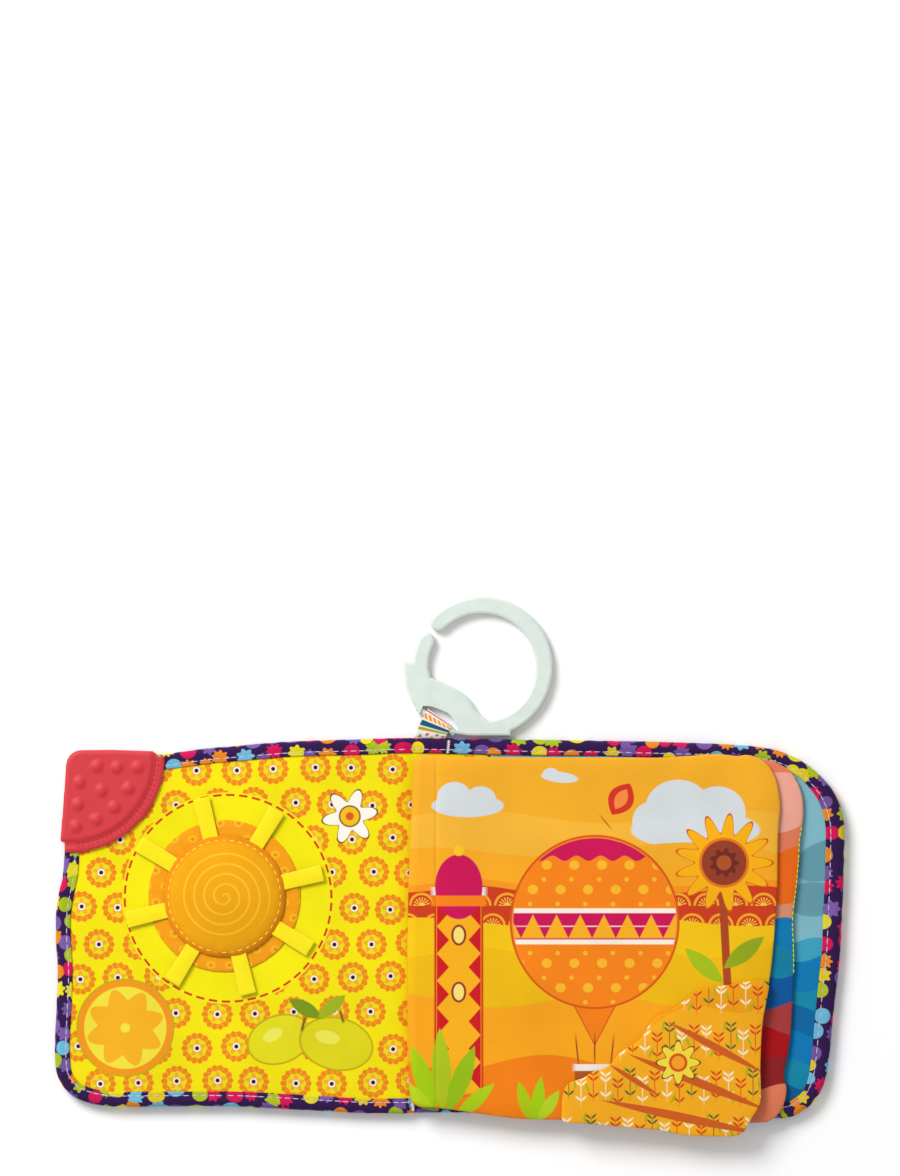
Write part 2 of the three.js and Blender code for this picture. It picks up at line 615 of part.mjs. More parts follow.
// Tape loop: two layers leave the seam together, part round the bar and close past it.
function tapeLoop() {
  const seamZ = coverThickness / 2;
  const barZ = ringRise + ringThickness / 2;
  const innerHalf = barRadius + layerGap;
  const outerHalf = innerHalf + tapeThickness;
  const barA = new THREE.Vector2(barStart.x, barStart.y);
  const barB = new THREE.Vector2(barEnd.x, barEnd.y);
  const side = barB.clone().sub(barA).normalize();
  const across = new THREE.Vector2(-side.y, side.x);
  const positions = [];
  const rings = [];
  for (let i = 0; i <= tapeSections; i += 1) {
    const share = i / tapeSections;
    const near = new THREE.Vector2(THREE.MathUtils.lerp(tapeSeamStart, tapeSeamEnd, share), tapeSeamY);
    const far = new THREE.Vector2(
      THREE.MathUtils.lerp(tapeFarStart.x, tapeFarEnd.x, share),
      THREE.MathUtils.lerp(tapeFarStart.y, tapeFarEnd.y, share));
    const length = near.distanceTo(far);
    const along = far.clone().sub(near).normalize();
    const barAt = barA.clone().sub(near).dot(across) / along.dot(across);
    const open = Math.max(barAt - innerHalf - layerGap, tapeThickness * 2);
    const half = (a, most, least, end) => {
      if (a <= open) return least + (most - least) * Math.sin((a / open) * (Math.PI / 2));
      if (a <= barAt + innerHalf / 2) return most;
      const past = (a - barAt - innerHalf / 2) / (end - barAt - innerHalf / 2);
      return most * Math.sqrt(Math.max(1 - past * past, 0));
    };
    const ring = (stations, most, least, end) => {
      const upper = stations.map((a) => [a, half(a, most, least, end)]);
      const lower = stations.slice(0, -1).reverse().map((a) => [a, -half(a, most, least, end)]);
      return [...upper, ...lower].map(([a, z]) => {
        const lift = seamZ + (barZ - seamZ) * Math.min(a / open, 1);
        positions.push(near.x + along.x * a, near.y + along.y * a, lift + z);
        return positions.length / 3 - 1;
      });
    };
    const outerEnd = length;
    const innerEnd = length - tapeThickness;
    const roundShares = [0, 0.45, 0.75, 0.93, 1];
    const stationsOf = (start, end) => [
      start, (start + open) / 2, open,
      ...roundShares.map((s) => THREE.MathUtils.lerp(barAt + innerHalf / 2, end, s)),
    ];
    rings.push([
      ring(stationsOf(0, outerEnd), outerHalf, tapeThickness, outerEnd),
      ring(stationsOf(open / 3, innerEnd), innerHalf, 0, innerEnd),
    ]);
  }
  const faces = [];
  const quad = (a, b, c, d) => faces.push(a, c, b, a, d, c);
  const count = rings[0][0].length;
  for (let j = 0; j < count; j += 1) {
    const k = (j + 1) % count;
    for (let i = 0; i < tapeSections; i += 1) {
      quad(rings[i][0][j], rings[i][0][k], rings[i + 1][0][k], rings[i + 1][0][j]);
      quad(rings[i][1][k], rings[i][1][j], rings[i + 1][1][j], rings[i + 1][1][k]);
    }
    const last = tapeSections;
    quad(rings[0][0][k], rings[0][0][j], rings[0][1][j], rings[0][1][k]);
    quad(rings[last][0][j], rings[last][0][k], rings[last][1][k], rings[last][1][j]);
  }
  const geometry = new THREE.BufferGeometry();
  geometry.setAttribute('position', new THREE.BufferAttribute(new Float32Array(positions), 3));
  geometry.setIndex(faces);
  return meshOf('tape_loop', solidOf(geometry), colours.tape);
}

const book = new THREE.Group();
book.add(...coverLayers('front', frontOutline, teetherBite));
book.add(...coverLayers('back', backOutline, null));
book.add(...spinePieces());
book.add(...pageLayers('page_b', pageOutline(pageB), pageBLow, pageThickness, clothThickness,
  colours.pageBack, colours.blueCloth));
book.add(...pageLayers('page_a', pageOutline(pageA), pageALow, pageThickness, clothThickness,
  colours.page, colours.pageBack));
book.add(...pageLayers('flap', flapOutline, flapLow, flapThickness, flapSkin, colours.flap, colours.orange));
book.add(gusset('page_b_gusset', pageAxisX, pageBLow, pageB.top, pageB.bottom, colours.pageBack));
book.add(gusset('page_a_gusset', -spineHalfWidth + layerGap, pageALow, pageA.top, pageA.bottom, colours.page));
book.add(...sunPieces());
book.add(...rayTabs());
book.add(teether());
book.add(clipRing());
book.add(tapeLoop());

export default book;
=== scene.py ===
"""A crinkle cloth book lying open: bound covers, padded pages, a flap, a sewn sun, a silicone corner and a ring."""
import json
import math

import bmesh
import bpy
import numpy as np
from mathutils import Vector, noise
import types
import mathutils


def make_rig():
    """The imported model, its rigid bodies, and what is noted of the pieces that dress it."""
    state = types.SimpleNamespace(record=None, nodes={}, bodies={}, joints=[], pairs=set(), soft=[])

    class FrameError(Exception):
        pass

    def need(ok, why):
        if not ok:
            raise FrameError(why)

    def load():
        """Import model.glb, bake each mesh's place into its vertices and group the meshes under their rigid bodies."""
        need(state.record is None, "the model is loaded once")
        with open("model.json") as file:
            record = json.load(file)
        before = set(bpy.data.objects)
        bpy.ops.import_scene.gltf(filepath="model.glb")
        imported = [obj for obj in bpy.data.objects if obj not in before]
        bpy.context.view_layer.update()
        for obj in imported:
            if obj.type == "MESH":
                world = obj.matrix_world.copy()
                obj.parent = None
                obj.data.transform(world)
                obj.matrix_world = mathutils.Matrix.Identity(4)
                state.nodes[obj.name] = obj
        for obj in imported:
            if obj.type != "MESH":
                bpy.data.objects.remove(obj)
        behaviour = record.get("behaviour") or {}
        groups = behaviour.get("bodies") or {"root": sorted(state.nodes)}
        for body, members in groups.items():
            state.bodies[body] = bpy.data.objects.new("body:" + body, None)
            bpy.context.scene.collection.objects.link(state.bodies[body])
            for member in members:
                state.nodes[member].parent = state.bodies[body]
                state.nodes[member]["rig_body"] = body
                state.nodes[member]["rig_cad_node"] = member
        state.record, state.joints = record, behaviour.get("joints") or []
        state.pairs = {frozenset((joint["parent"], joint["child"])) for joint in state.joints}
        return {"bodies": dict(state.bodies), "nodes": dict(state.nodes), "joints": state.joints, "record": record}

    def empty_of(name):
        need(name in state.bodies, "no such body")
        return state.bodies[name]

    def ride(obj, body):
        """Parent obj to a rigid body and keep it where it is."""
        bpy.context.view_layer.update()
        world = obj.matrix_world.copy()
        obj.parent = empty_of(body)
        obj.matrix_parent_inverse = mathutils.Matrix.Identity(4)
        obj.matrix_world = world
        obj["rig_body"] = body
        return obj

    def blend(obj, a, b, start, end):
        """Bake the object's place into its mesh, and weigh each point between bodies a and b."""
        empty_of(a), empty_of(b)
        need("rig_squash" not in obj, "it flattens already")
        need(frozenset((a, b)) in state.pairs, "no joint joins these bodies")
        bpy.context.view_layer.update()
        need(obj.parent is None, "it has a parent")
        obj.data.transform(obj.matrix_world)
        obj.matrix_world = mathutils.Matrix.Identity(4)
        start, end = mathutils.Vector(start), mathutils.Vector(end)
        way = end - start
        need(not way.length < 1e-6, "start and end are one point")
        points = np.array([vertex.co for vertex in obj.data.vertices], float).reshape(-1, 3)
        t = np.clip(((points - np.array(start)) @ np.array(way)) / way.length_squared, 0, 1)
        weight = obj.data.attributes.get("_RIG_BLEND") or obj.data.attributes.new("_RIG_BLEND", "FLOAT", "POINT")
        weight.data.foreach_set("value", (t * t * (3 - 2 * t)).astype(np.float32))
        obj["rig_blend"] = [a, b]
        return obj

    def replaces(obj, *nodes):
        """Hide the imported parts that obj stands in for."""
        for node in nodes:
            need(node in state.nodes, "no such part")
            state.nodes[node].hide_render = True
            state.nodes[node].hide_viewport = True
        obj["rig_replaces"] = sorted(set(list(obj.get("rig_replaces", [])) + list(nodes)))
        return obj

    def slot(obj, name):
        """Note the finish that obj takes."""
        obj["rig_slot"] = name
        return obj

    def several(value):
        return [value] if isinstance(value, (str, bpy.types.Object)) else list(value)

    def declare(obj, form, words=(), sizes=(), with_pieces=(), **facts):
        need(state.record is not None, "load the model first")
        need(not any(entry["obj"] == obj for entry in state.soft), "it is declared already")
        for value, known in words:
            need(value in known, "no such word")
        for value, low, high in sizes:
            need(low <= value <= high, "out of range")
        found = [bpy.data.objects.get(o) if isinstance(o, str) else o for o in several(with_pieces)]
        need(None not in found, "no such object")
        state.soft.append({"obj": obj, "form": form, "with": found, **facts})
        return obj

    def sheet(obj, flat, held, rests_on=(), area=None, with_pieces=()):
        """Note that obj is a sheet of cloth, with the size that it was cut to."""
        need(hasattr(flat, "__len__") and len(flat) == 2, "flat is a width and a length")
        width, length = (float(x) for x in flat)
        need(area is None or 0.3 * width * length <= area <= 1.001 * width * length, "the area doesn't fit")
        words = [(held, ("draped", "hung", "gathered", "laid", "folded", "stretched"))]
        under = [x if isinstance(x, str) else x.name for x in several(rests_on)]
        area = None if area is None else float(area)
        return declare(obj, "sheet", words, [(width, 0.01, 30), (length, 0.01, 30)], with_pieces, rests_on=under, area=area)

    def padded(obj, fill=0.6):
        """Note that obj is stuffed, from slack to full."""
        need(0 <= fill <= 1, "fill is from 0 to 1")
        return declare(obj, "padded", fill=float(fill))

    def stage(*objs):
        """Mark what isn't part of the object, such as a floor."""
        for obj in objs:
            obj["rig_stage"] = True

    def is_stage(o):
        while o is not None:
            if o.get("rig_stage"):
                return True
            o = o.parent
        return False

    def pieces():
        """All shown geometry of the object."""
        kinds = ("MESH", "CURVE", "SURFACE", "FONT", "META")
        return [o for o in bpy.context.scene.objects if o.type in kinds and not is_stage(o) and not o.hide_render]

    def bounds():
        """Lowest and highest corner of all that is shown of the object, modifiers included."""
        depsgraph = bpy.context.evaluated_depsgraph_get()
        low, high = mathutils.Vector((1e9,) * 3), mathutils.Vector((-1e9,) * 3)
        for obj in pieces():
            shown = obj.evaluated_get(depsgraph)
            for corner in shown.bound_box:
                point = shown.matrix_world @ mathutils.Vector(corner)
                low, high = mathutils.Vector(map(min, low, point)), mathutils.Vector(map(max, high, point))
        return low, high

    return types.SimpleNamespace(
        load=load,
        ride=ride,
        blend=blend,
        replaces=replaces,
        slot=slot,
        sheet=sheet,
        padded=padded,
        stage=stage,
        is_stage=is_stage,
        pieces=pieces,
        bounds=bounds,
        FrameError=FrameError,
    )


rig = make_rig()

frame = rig.load()
cad_box = [list(map(float, corner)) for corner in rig.bounds()]
mm = 0.001

# The studio: the book lies on a white table under a broad soft sky, with one large
# lamp from the upper left for the folds, and the camera looks straight down on it.
view_centre = Vector((0, 154.3 * mm, 0))
view_height = 538.6 * mm
camera_height = 3.0
camera = bpy.data.objects.new("camera", bpy.data.cameras.new("camera"))
bpy.context.scene.collection.objects.link(camera)
camera.location = view_centre + Vector((0, 0, camera_height))
camera.data.sensor_fit = "VERTICAL"
camera.data.sensor_height = 24
camera.data.lens = camera.data.sensor_height * camera_height / view_height
camera.data.clip_end = 50
bpy.context.scene.camera = camera
bpy.context.scene.view_settings.view_transform = "Standard"

table_bm = bmesh.new()
bmesh.ops.create_grid(table_bm, x_segments=1, y_segments=1, size=6)
bmesh.ops.translate(table_bm, verts=table_bm.verts, vec=(0, 0, -0.05 * mm))
table_mesh = bpy.data.meshes.new("table")
table_bm.to_mesh(table_mesh)
table = bpy.data.objects.new("table", table_mesh)
bpy.context.scene.collection.objects.link(table)
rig.stage(table)

lamp = bpy.data.lights.new("lamp", "AREA")
lamp.shape = "DISK"
lamp.size = 1.1
lamp.energy = 46
lamp_object = bpy.data.objects.new("lamp", lamp)
bpy.context.scene.collection.objects.link(lamp_object)
lamp_object.location = (-1.1, 1.3, 1.5)
lamp_object.rotation_euler = (-lamp_object.location).to_track_quat("-Z", "Y").to_euler()

world = bpy.data.worlds.new("sky")
bpy.context.scene.world = world
world.use_nodes = True
world.node_tree.nodes["Background"].inputs["Color"].default_value = (1, 1, 1, 1)
world.node_tree.nodes["Background"].inputs["Strength"].default_value = 0.6


class Wire:
    """A socket of a material: sums on it add Math nodes, and make() adds any other node."""

    def __init__(self, tree, socket=None):
        self.tree = tree
        self.socket = socket

    def make(self, kind, sockets=(), out=0, stops=(), **settings):
        node = self.tree.nodes.new("ShaderNode" + kind)
        for name, value in settings.items():
            setattr(node, name, value)
        for spare in list(node.color_ramp.elements)[1:] if stops else ():
            node.color_ramp.elements.remove(spare)
        for place, (position, colour) in enumerate(stops):
            stop = node.color_ramp.elements.new(position) if place else node.color_ramp.elements[0]
            stop.position = position
            stop.color = colour
        for key, value in dict(sockets).items():
            if isinstance(value, Wire):
                self.tree.links.new(value.socket, node.inputs[key])
            else:
                node.inputs[key].default_value = value
        return Wire(self.tree, node.outputs[out])

    def sum(self, operation, *terms, clamp=False):
        return self.make("Math", enumerate((self, *terms)), operation=operation, use_clamp=clamp)

    def step(self, sharpness, middle=0.5):
        """0 below nought and 1 above it, with a printed edge."""
        return self.sum("MULTIPLY_ADD", sharpness, middle, clamp=True)

    def vector(self, operation, *terms, out=0):
        return self.make("VectorMath", enumerate((self, *terms)), out, operation=operation)

    def parts(self):
        return [self.make("SeparateXYZ", {0: self}, out) for out in (0, 1)]

    def mix(self, other, factor):
        return self.make("Mix", {0: factor, 6: self, 7: other}, 2, data_type="RGBA")

    def __add__(self, other):
        return self.sum("ADD", other)

    def __sub__(self, other):
        return self.sum("SUBTRACT", other)

    def __mul__(self, other):
        return self.sum("MULTIPLY", other)

    def __truediv__(self, other):
        return self.sum("DIVIDE", other)

    def __rsub__(self, other):
        return self.make("Math", enumerate((other, self)), operation="SUBTRACT")

    __radd__ = __add__


def dye(red, green, blue):
    """A colour as it is seen, from 0 to 255, made linear. Prints and plain finishes dye their own colours."""
    share = [part / 255 for part in (red, green, blue)]
    return (*[s / 12.92 if s < 0.04045 else ((s + 0.055) / 1.055) ** 2.4 for s in share], 1)


def new_finish(name):
    """A new material, with the node of its surface."""
    finish = bpy.data.materials.new(name)
    finish.use_nodes = True
    return finish, finish.node_tree.nodes["Principled BSDF"]


table_white, table_surface = new_finish("table_white")
table_surface.inputs["Base Color"].default_value = (0.93, 0.93, 0.93, 1)
table_surface.inputs["Roughness"].default_value = 0.9
table_mesh.materials.append(table_white)


# The outer cloth: one length of printed cotton that wraps both covers and the spine.
# It is cut a little inside the bound edge, and its rim is caught in the binding.
bound_edge = [
    (-176.2, 39), (-176.3, 33.4), (-177, 23.4), (-179.1, 13.3), (-180.2, 4.6), (-180.2, -7.8), (-179.5, -17.4),
    (-179.5, -27), (-180.2, -43.1), (-180.7, -52.7), (-180.6, -60.9), (-179.8, -67.8), (-177.2, -73.3), (-172.2, -78.3),
    (-165.3, -81.1), (-158.9, -82.4), (-151.1, -82.9), (-105.3, -82.7), (-86.1, -83.4), (-69.2, -84.3), (-56.3, -85),
    (-41.2, -85.8), (-22, -86), (-5, -85.6), (68.7, -86.1), (142, -88), (154.3, -87.9), (162.1, -84.3), (168.1, -78.3),
    (171.8, -69.6), (173.6, -58.6), (175, -43.3), (176.8, -27.9), (178.4, -12.8), (179.1, 2.3), (179.8, 16.5),
    (180.2, 31.6), (180.4, 43.1), (179.5, 50.4), (176.6, 59.1), (171.3, 66.4), (163.5, 73.3), (154.3, 78.3),
    (144.7, 81.1), (128.7, 82.6), (104.4, 83.6), (80.2, 84.2), (32.1, 84.9), (-18.8, 85.6), (-41.2, 85), (-66.4, 84.3),
    (-82, 83.4), (-102.6, 81.6), (-111.8, 80.8), (-120.5, 79.6), (-130.3, 78.3), (-135.6, 77.9),
]
teether_corner_edge = [(-150, 77), (-165, 76.6), (-171, 73.4), (-173.6, 66), (-175.4, 52)]


def smooth_line(points, step, closed=True):
    """Points in metres at even steps, in mm, on the smooth line through the given ones."""
    knots = [Vector(point) for point in points]
    count = len(knots)
    line = []
    for place in range(count if closed else count - 1):
        if closed:
            a, b, c, d = (knots[(place + shift) % count] for shift in (-1, 0, 1, 2))
        else:
            a, b, c, d = (knots[min(max(place + shift, 0), count - 1)] for shift in (-1, 0, 1, 2))
        pieces = max(1, round((c - b).length / step))
        for piece in range(pieces):
            t = piece / pieces
            line.append(0.5 * (2 * b + (c - a) * t + (2 * a - 5 * b + 4 * c - d) * t * t
                               + (3 * b - a - 3 * c + d) * t**3) * mm)
    return line if closed else line + [knots[-1] * mm]


def drawn_in(line, inset):
    """The same closed line, moved inwards by a distance in mm; the line runs anticlockwise."""
    moved = []
    for place, point in enumerate(line):
        along = (line[(place + 1) % len(line)] - line[place - 1]).normalized()
        moved.append(point + Vector((-along.y, along.x)) * inset * mm)
    return moved


def clipped(line, axis, limit, keep):
    """The part of a closed line on one side of a straight cut at a limit in mm."""
    kept = []
    for place, point in enumerate(line):
        after = line[(place + 1) % len(line)]
        inside, next_inside = ((spot[axis] - limit * mm) * keep >= 0 for spot in (point, after))
        if inside:
            kept.append(point)
        if inside != next_inside:
            share = (limit * mm - point[axis]) / (after[axis] - point[axis])
            kept.append(point.lerp(after, share))
    return kept


def cut_size(line):
    """What a sheet cut to a closed line measures flat: its breadth and length, and its area, in metres."""
    across, up = zip(*line)
    area = abs(sum(a.x * b.y - b.x * a.y for a, b in zip(line, line[1:] + line[:1]))) / 2
    return {"flat": (max(across) - min(across), max(up) - min(up)), "area": area}


def cut_cloth(line, step, rings):
    """A flat piece of cloth cut to a line, with narrow rings of faces along its edge and a grid over it."""
    bm = bmesh.new()
    inner = bm.faces.new([bm.verts.new((*point, 0)) for point in line])
    for width in rings:
        bmesh.ops.inset_region(bm, faces=[inner], thickness=width * mm, use_even_offset=True)
    for axis in (0, 1):
        low, high = (limit(point[axis] for point in line) for limit in (min, max))
        pieces = round((high - low) / (step * mm))
        across = Vector((1 - axis, axis, 0))
        for piece in range(1, pieces):
            limit = low + (high - low) * piece / pieces
            crossed = [face for face in bm.faces if min(vert.co[axis] for vert in face.verts) < limit
                       and max(vert.co[axis] for vert in face.verts) > limit]
            crossed += list({part for face in crossed for part in (*face.edges, *face.verts)})
            bmesh.ops.bisect_plane(bm, geom=list(crossed), dist=1e-6, plane_co=across * limit, plane_no=across)
    return bm


def along_edge(line, verts):
    """How far each vertex is from the cut edge, and how far round the edge it is nearest to, in mm."""
    a = np.array(line) / mm
    ab = np.roll(a, -1, 0) - a
    length = np.hypot(*ab.T)
    start = np.concatenate([[0], np.cumsum(length)[:-1]])
    spots = np.array([vert.co.xy for vert in verts]) / mm
    share = np.clip(((spots[:, None] - a) * ab).sum(2) / (length**2), 0, 1)
    gap = np.hypot(*np.moveaxis(spots[:, None] - a - share[..., None] * ab, 2, 0))
    near = gap.argmin(1)
    rows = np.arange(len(spots))
    return gap[rows, near], start[near] + share[rows, near] * length[near]


def print_places(bm, place=lambda vert: vert.co.xy):
    """Keeps each vertex's place on the flat cloth, in metres, as the print's own coordinates."""
    layer = bm.loops.layers.uv.new("flat")
    for face in bm.faces:
        for loop in face.loops:
            loop[layer].uv = place(loop.vert)


def turned_up(bm):
    """Turns the faces so that the right side of the cloth looks up."""
    bm.normal_update()
    if sum(face.normal.z for face in bm.faces) < 0:
        bmesh.ops.reverse_faces(bm, faces=bm.faces)


def sewn(name, bm, *finishes, smoothing=1):
    """Makes the piece's object from its mesh, with its finishes in order."""
    mesh = bpy.data.meshes.new(name)
    bm.to_mesh(mesh)
    bm.free()
    for finish in finishes:
        mesh.materials.append(finish)
    mesh.polygons.foreach_set("use_smooth", [True] * len(mesh.polygons))
    piece = bpy.data.objects.new(name, mesh)
    bpy.context.scene.collection.objects.link(piece)
    if smoothing:
        rounding = piece.modifiers.new("rounding", "SUBSURF")
        rounding.levels = rounding.render_levels = smoothing
    return piece


def wave(x, y, z, scale):
    """A gentle seeded unevenness from -1 to 1, with places in mm and the scale in mm."""
    return noise.noise(Vector((x / scale, y / scale, z)))


def pucker(around, step, seed):
    """Small gathers along a seam from -1 to 1, from the way along it in mm."""
    return noise.noise(Vector((around / step, seed, 0))) + 0.5 * noise.noise(Vector((around * 2.3 / step, seed, 5)))


def thickened(bm, thickness):
    """Gives a sheet its thickness in mm, against the way that its right side looks."""
    bmesh.ops.solidify(bm, geom=bm.faces[:], thickness=thickness * mm)
    return bm


def sheet_of(line, step, rings, thickness, height):
    """A sheet of cloth cut to a line, laid at the given height, and given its thickness downwards."""
    bm = cut_cloth(line, step, rings)
    print_places(bm)
    verts = bm.verts[:]
    for vert, gap, around in zip(verts, *along_edge(line, verts)):
        vert.co.z = height(vert.co.x / mm, vert.co.y / mm, gap, around) * mm
    bmesh.ops.recalc_face_normals(bm, faces=bm.faces)
    turned_up(bm)
    return thickened(bm, thickness)


class Print:
    """A printed cloth face: motifs are laid one over another on the flat cloth, in mm."""

    def __init__(self, name, ground):
        self.finish, self.surface = new_finish(name)
        self.wire = Wire(self.finish.node_tree)
        flat = self.wire.make("UVMap", uv_map="flat")
        self.place = flat.vector("SCALE")
        self.place.socket.node.inputs["Scale"].default_value = 1 / mm
        self.whole = self.place
        self.colour = self.wire.make("Mix", {0: 0.0, 6: dye(*ground), 7: dye(*ground)}, 2, data_type="RGBA")

    def local(self, spot, size, turn=0):
        return self.wire.make("Mapping", {0: self.place, 1: (*spot, 0), 2: (0, 0, math.radians(turn)),
                                          3: (size[0], size[1], 1)}, vector_type="TEXTURE")

    def soft(self, reach, size, blur=0.35):
        """1 where the reach is under 1, on a motif of the given size in mm, with a printed edge."""
        return (1 - reach).sum("MULTIPLY", min(size) / blur, clamp=True)

    def oval(self, x, y, across, up, turn=0):
        spot = self.local((x, y), (across, up), turn)
        return self.soft(spot.vector("LENGTH", out=1), (across, up))

    def leaf(self, x, y, across, up, turn=0):
        u, v = self.local((x, y), (across, up), turn).parts()
        return self.soft(u.sum("ABSOLUTE") + v * v, (across, up))

    def box(self, x, y, across, up, turn=0):
        u, v = self.local((x, y), (across, up), turn).parts()
        return self.soft(u.sum("ABSOLUTE").sum("MAXIMUM", v.sum("ABSOLUTE")), (across, up))

    def wedge(self, x, y, across, up, turn=0):
        u, v = self.local((x, y), (across, up), turn).parts()
        return self.soft((u.sum("ABSOLUTE") + v * 0.5 + 0.5).sum("MAXIMUM", 0 - v), (across, up))

    def rosette(self, x, y, radius, petals, depth, turn=0):
        u, v = self.local((x, y), (radius, radius), turn).parts()
        bend = (v.sum("ARCTAN2", u) * petals).sum("COSINE") * depth + (1 - depth)
        return self.soft((u * u + v * v).sum("SQRT") / bend, (radius, radius))

    def hill(self, level, rise, length, shift, slope=0):
        u, v = self.place.parts()
        crest = (u * (math.tau / length) + shift).sum("SINE") * rise + u * slope + level
        return (crest - v).step(3)

    def lay(self, colour, mask):
        self.colour = self.colour.mix(colour if isinstance(colour, Wire) else dye(*colour), mask)

    def saw(self, x, y, teeth):
        """Rises from 0 to 1 in each of the even teeth round a centre."""
        u, v = self.local((x, y), (1, 1)).parts()
        turn = v.sum("ARCTAN2", u) * (teeth / math.tau)
        return turn - turn.sum("FLOOR")

    def motifs(self, table, within=1):
        for kind, colour, *sizes in table:
            self.lay(colour, getattr(self, kind)(*sizes) * within)

    def done(self, roughness=0.85, weave=0.42, sheen=0.05):
        """The cotton under the print: its plain weave, a little fading, and a soft sheen."""
        wire = self.wire
        u, v = self.place.parts()
        threads = (u * (math.tau / weave)).sum("SINE") * (v * (math.tau / weave)).sum("SINE")
        fuzz = wire.make("TexNoise", {0: self.place, 2: 0.9, 3: 3.0}, noise_dimensions="2D")
        blotch = wire.make("TexNoise", {0: self.place, 2: 0.035, 3: 2.0}, noise_dimensions="2D")
        shade = blotch.sum("MULTIPLY_ADD", 0.16, 0.77) + (fuzz - 0.5) * 0.07
        tint = wire.make("CombineXYZ", {0: shade, 1: shade, 2: shade})
        self.colour = self.colour.vector("MULTIPLY", tint)
        wire.tree.links.new(self.colour.socket, self.surface.inputs["Base Color"])
        relief = threads * 0.35 + fuzz * 0.8
        bump = wire.make("Bump", {"Strength": 0.35, "Distance": 0.08 * mm, "Height": relief})
        wire.tree.links.new(bump.socket, self.surface.inputs["Normal"])
        self.surface.inputs["Roughness"].default_value = roughness
        self.surface.inputs["Sheen Weight"].default_value = sheen
        self.surface.inputs["Sheen Roughness"].default_value = 0.4
        self.surface.inputs["Specular IOR Level"].default_value = 0.2
        return self.finish


edge_line = smooth_line(bound_edge + teether_corner_edge, 3)

spine_half = 18
blend_right, blend_left = (spine_half * mm, 0, 2 * mm), (-spine_half * mm, 0, 2 * mm)

outside = Print("cover_print", (20, 120, 176))


def scattered(cloth, cell, seed):
    """A loose grid of cells, in mm: how far and which way from each cell's centre, and its own two numbers."""
    cells = cloth.wire.make("TexVoronoi", {0: cloth.place, 2: 1 / cell, 8: 0.55 + seed * 0.01}, 2,
                            voronoi_dimensions="2D")
    way = cloth.place.vector("SUBTRACT", cells)
    x, y = way.parts()
    numbers = [cells.make("TexWhiteNoise", {0: spot}, noise_dimensions="3D")
               for spot in (cells, cells.vector("ADD", (7.3, 1.9, 0)))]
    return way.vector("LENGTH", out=1), y.sum("ARCTAN2", x), *numbers


star_reach, star_turn, star_tone, star_kind = scattered(outside, 17, 1)
star_edge = ((star_turn + star_kind * 6.28) * 5).sum("COSINE") * 1.15 + 3.6
outside.lay((250, 222, 40), (star_edge - star_reach).step(3) * star_tone.sum("GREATER_THAN", 0.45))
dot_edge = star_tone * 3 + 1.2
outside.lay((246, 246, 240), (dot_edge - star_reach).step(3) * star_tone.sum("LESS_THAN", 0.45))
cover_print = outside.done()

cloth_thickness = 0.8
outer_line = drawn_in(edge_line, 1.3)


def outer_height(x, y, gap, around):
    rise = 1.3 * math.exp(-((gap / 5.5) ** 2)) + 0.12 * pucker(around, 7, 1) * math.exp(-gap / 9)
    return 0.05 + rise + 0.1 * max(0, wave(x, y, 1, 30))


outer_cloth = sewn("outer_cloth", sheet_of(outer_line, 6, (2.5, 3, 3.5), -cloth_thickness, outer_height), cover_print)
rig.replaces(outer_cloth, "front_outer_shell", "back_outer_shell", "spine_shell")
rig.slot(outer_cloth, "cover_cloth")
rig.blend(outer_cloth, "back_cover", "front_cover", start=blend_right, end=blend_left)
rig.sheet(outer_cloth, held="stretched", **cut_size(outer_line), rests_on=["table"])


# The filling: a thin batting and a sheet of crinkle film lie between the cloths of each
# cover and page, and the sun is stuffed. They keep their solids and show only where cut.
def plain_finish(name, colour, roughness, scale, depth, **settings):
    """A plain material with a fine uneven surface, scale in mm."""
    finish, surface = new_finish(name)
    wire = Wire(finish.node_tree)
    place = wire.make("TexCoord", out=3)
    grain = place.make("TexNoise", {0: place, 2: 1 / (scale * mm), 3: 3.0})
    pale, deep = ((*[min(1, part * share) for part in dye(*colour)[:3]], 1) for share in (1.08, 0.9))
    shade = wire.make("Mix", {0: grain, 6: deep, 7: pale}, 2, data_type="RGBA")
    finish.node_tree.links.new(shade.socket, surface.inputs["Base Color"])
    bump = wire.make("Bump", {"Strength": 0.4, "Distance": depth * mm, "Height": grain})
    finish.node_tree.links.new(bump.socket, surface.inputs["Normal"])
    surface.inputs["Roughness"].default_value = roughness
    for name, value in settings.items():
        surface.inputs[name.replace("_", " ")].default_value = value
    return finish


batting = plain_finish("batting", (244, 242, 236), 0.95, 1.2, 0.3)
crinkle_film = plain_finish("crinkle_film", (226, 230, 232), 0.25, 4, 0.5)
fill_line = drawn_in(edge_line, 9.8)
for side, limit, body in (("front", -18.6, "front_cover"), ("back", 18.6, "back_cover")):
    half_line = clipped(fill_line, 0, limit, math.copysign(1, limit))
    for kind, finish, thickness, level in (("batting", batting, 3.2, 4.4), ("crinkle_film", crinkle_film, 0.2, 4.9)):
        filling = sewn(f"{side}_{kind}_sheet", sheet_of(half_line, 8, (3,), thickness, lambda x, y, gap, around:
                       level + 0.15 * wave(x, y, 3, 12)), finish)
        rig.replaces(filling, f"{side}_{kind}")
        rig.ride(filling, body)
        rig.slot(filling, kind)
        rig.sheet(filling, held="laid", **cut_size(half_line), rests_on=["outer_cloth"])

# The yellow lining: printed cotton over the front cover and the spine, gathered a little
# where the binding holds it. A plain yellow round is left in the print for the sun.
sun_x, sun_y = -103, 13.5
front_print = Print("front_lining_print", (244, 228, 0))


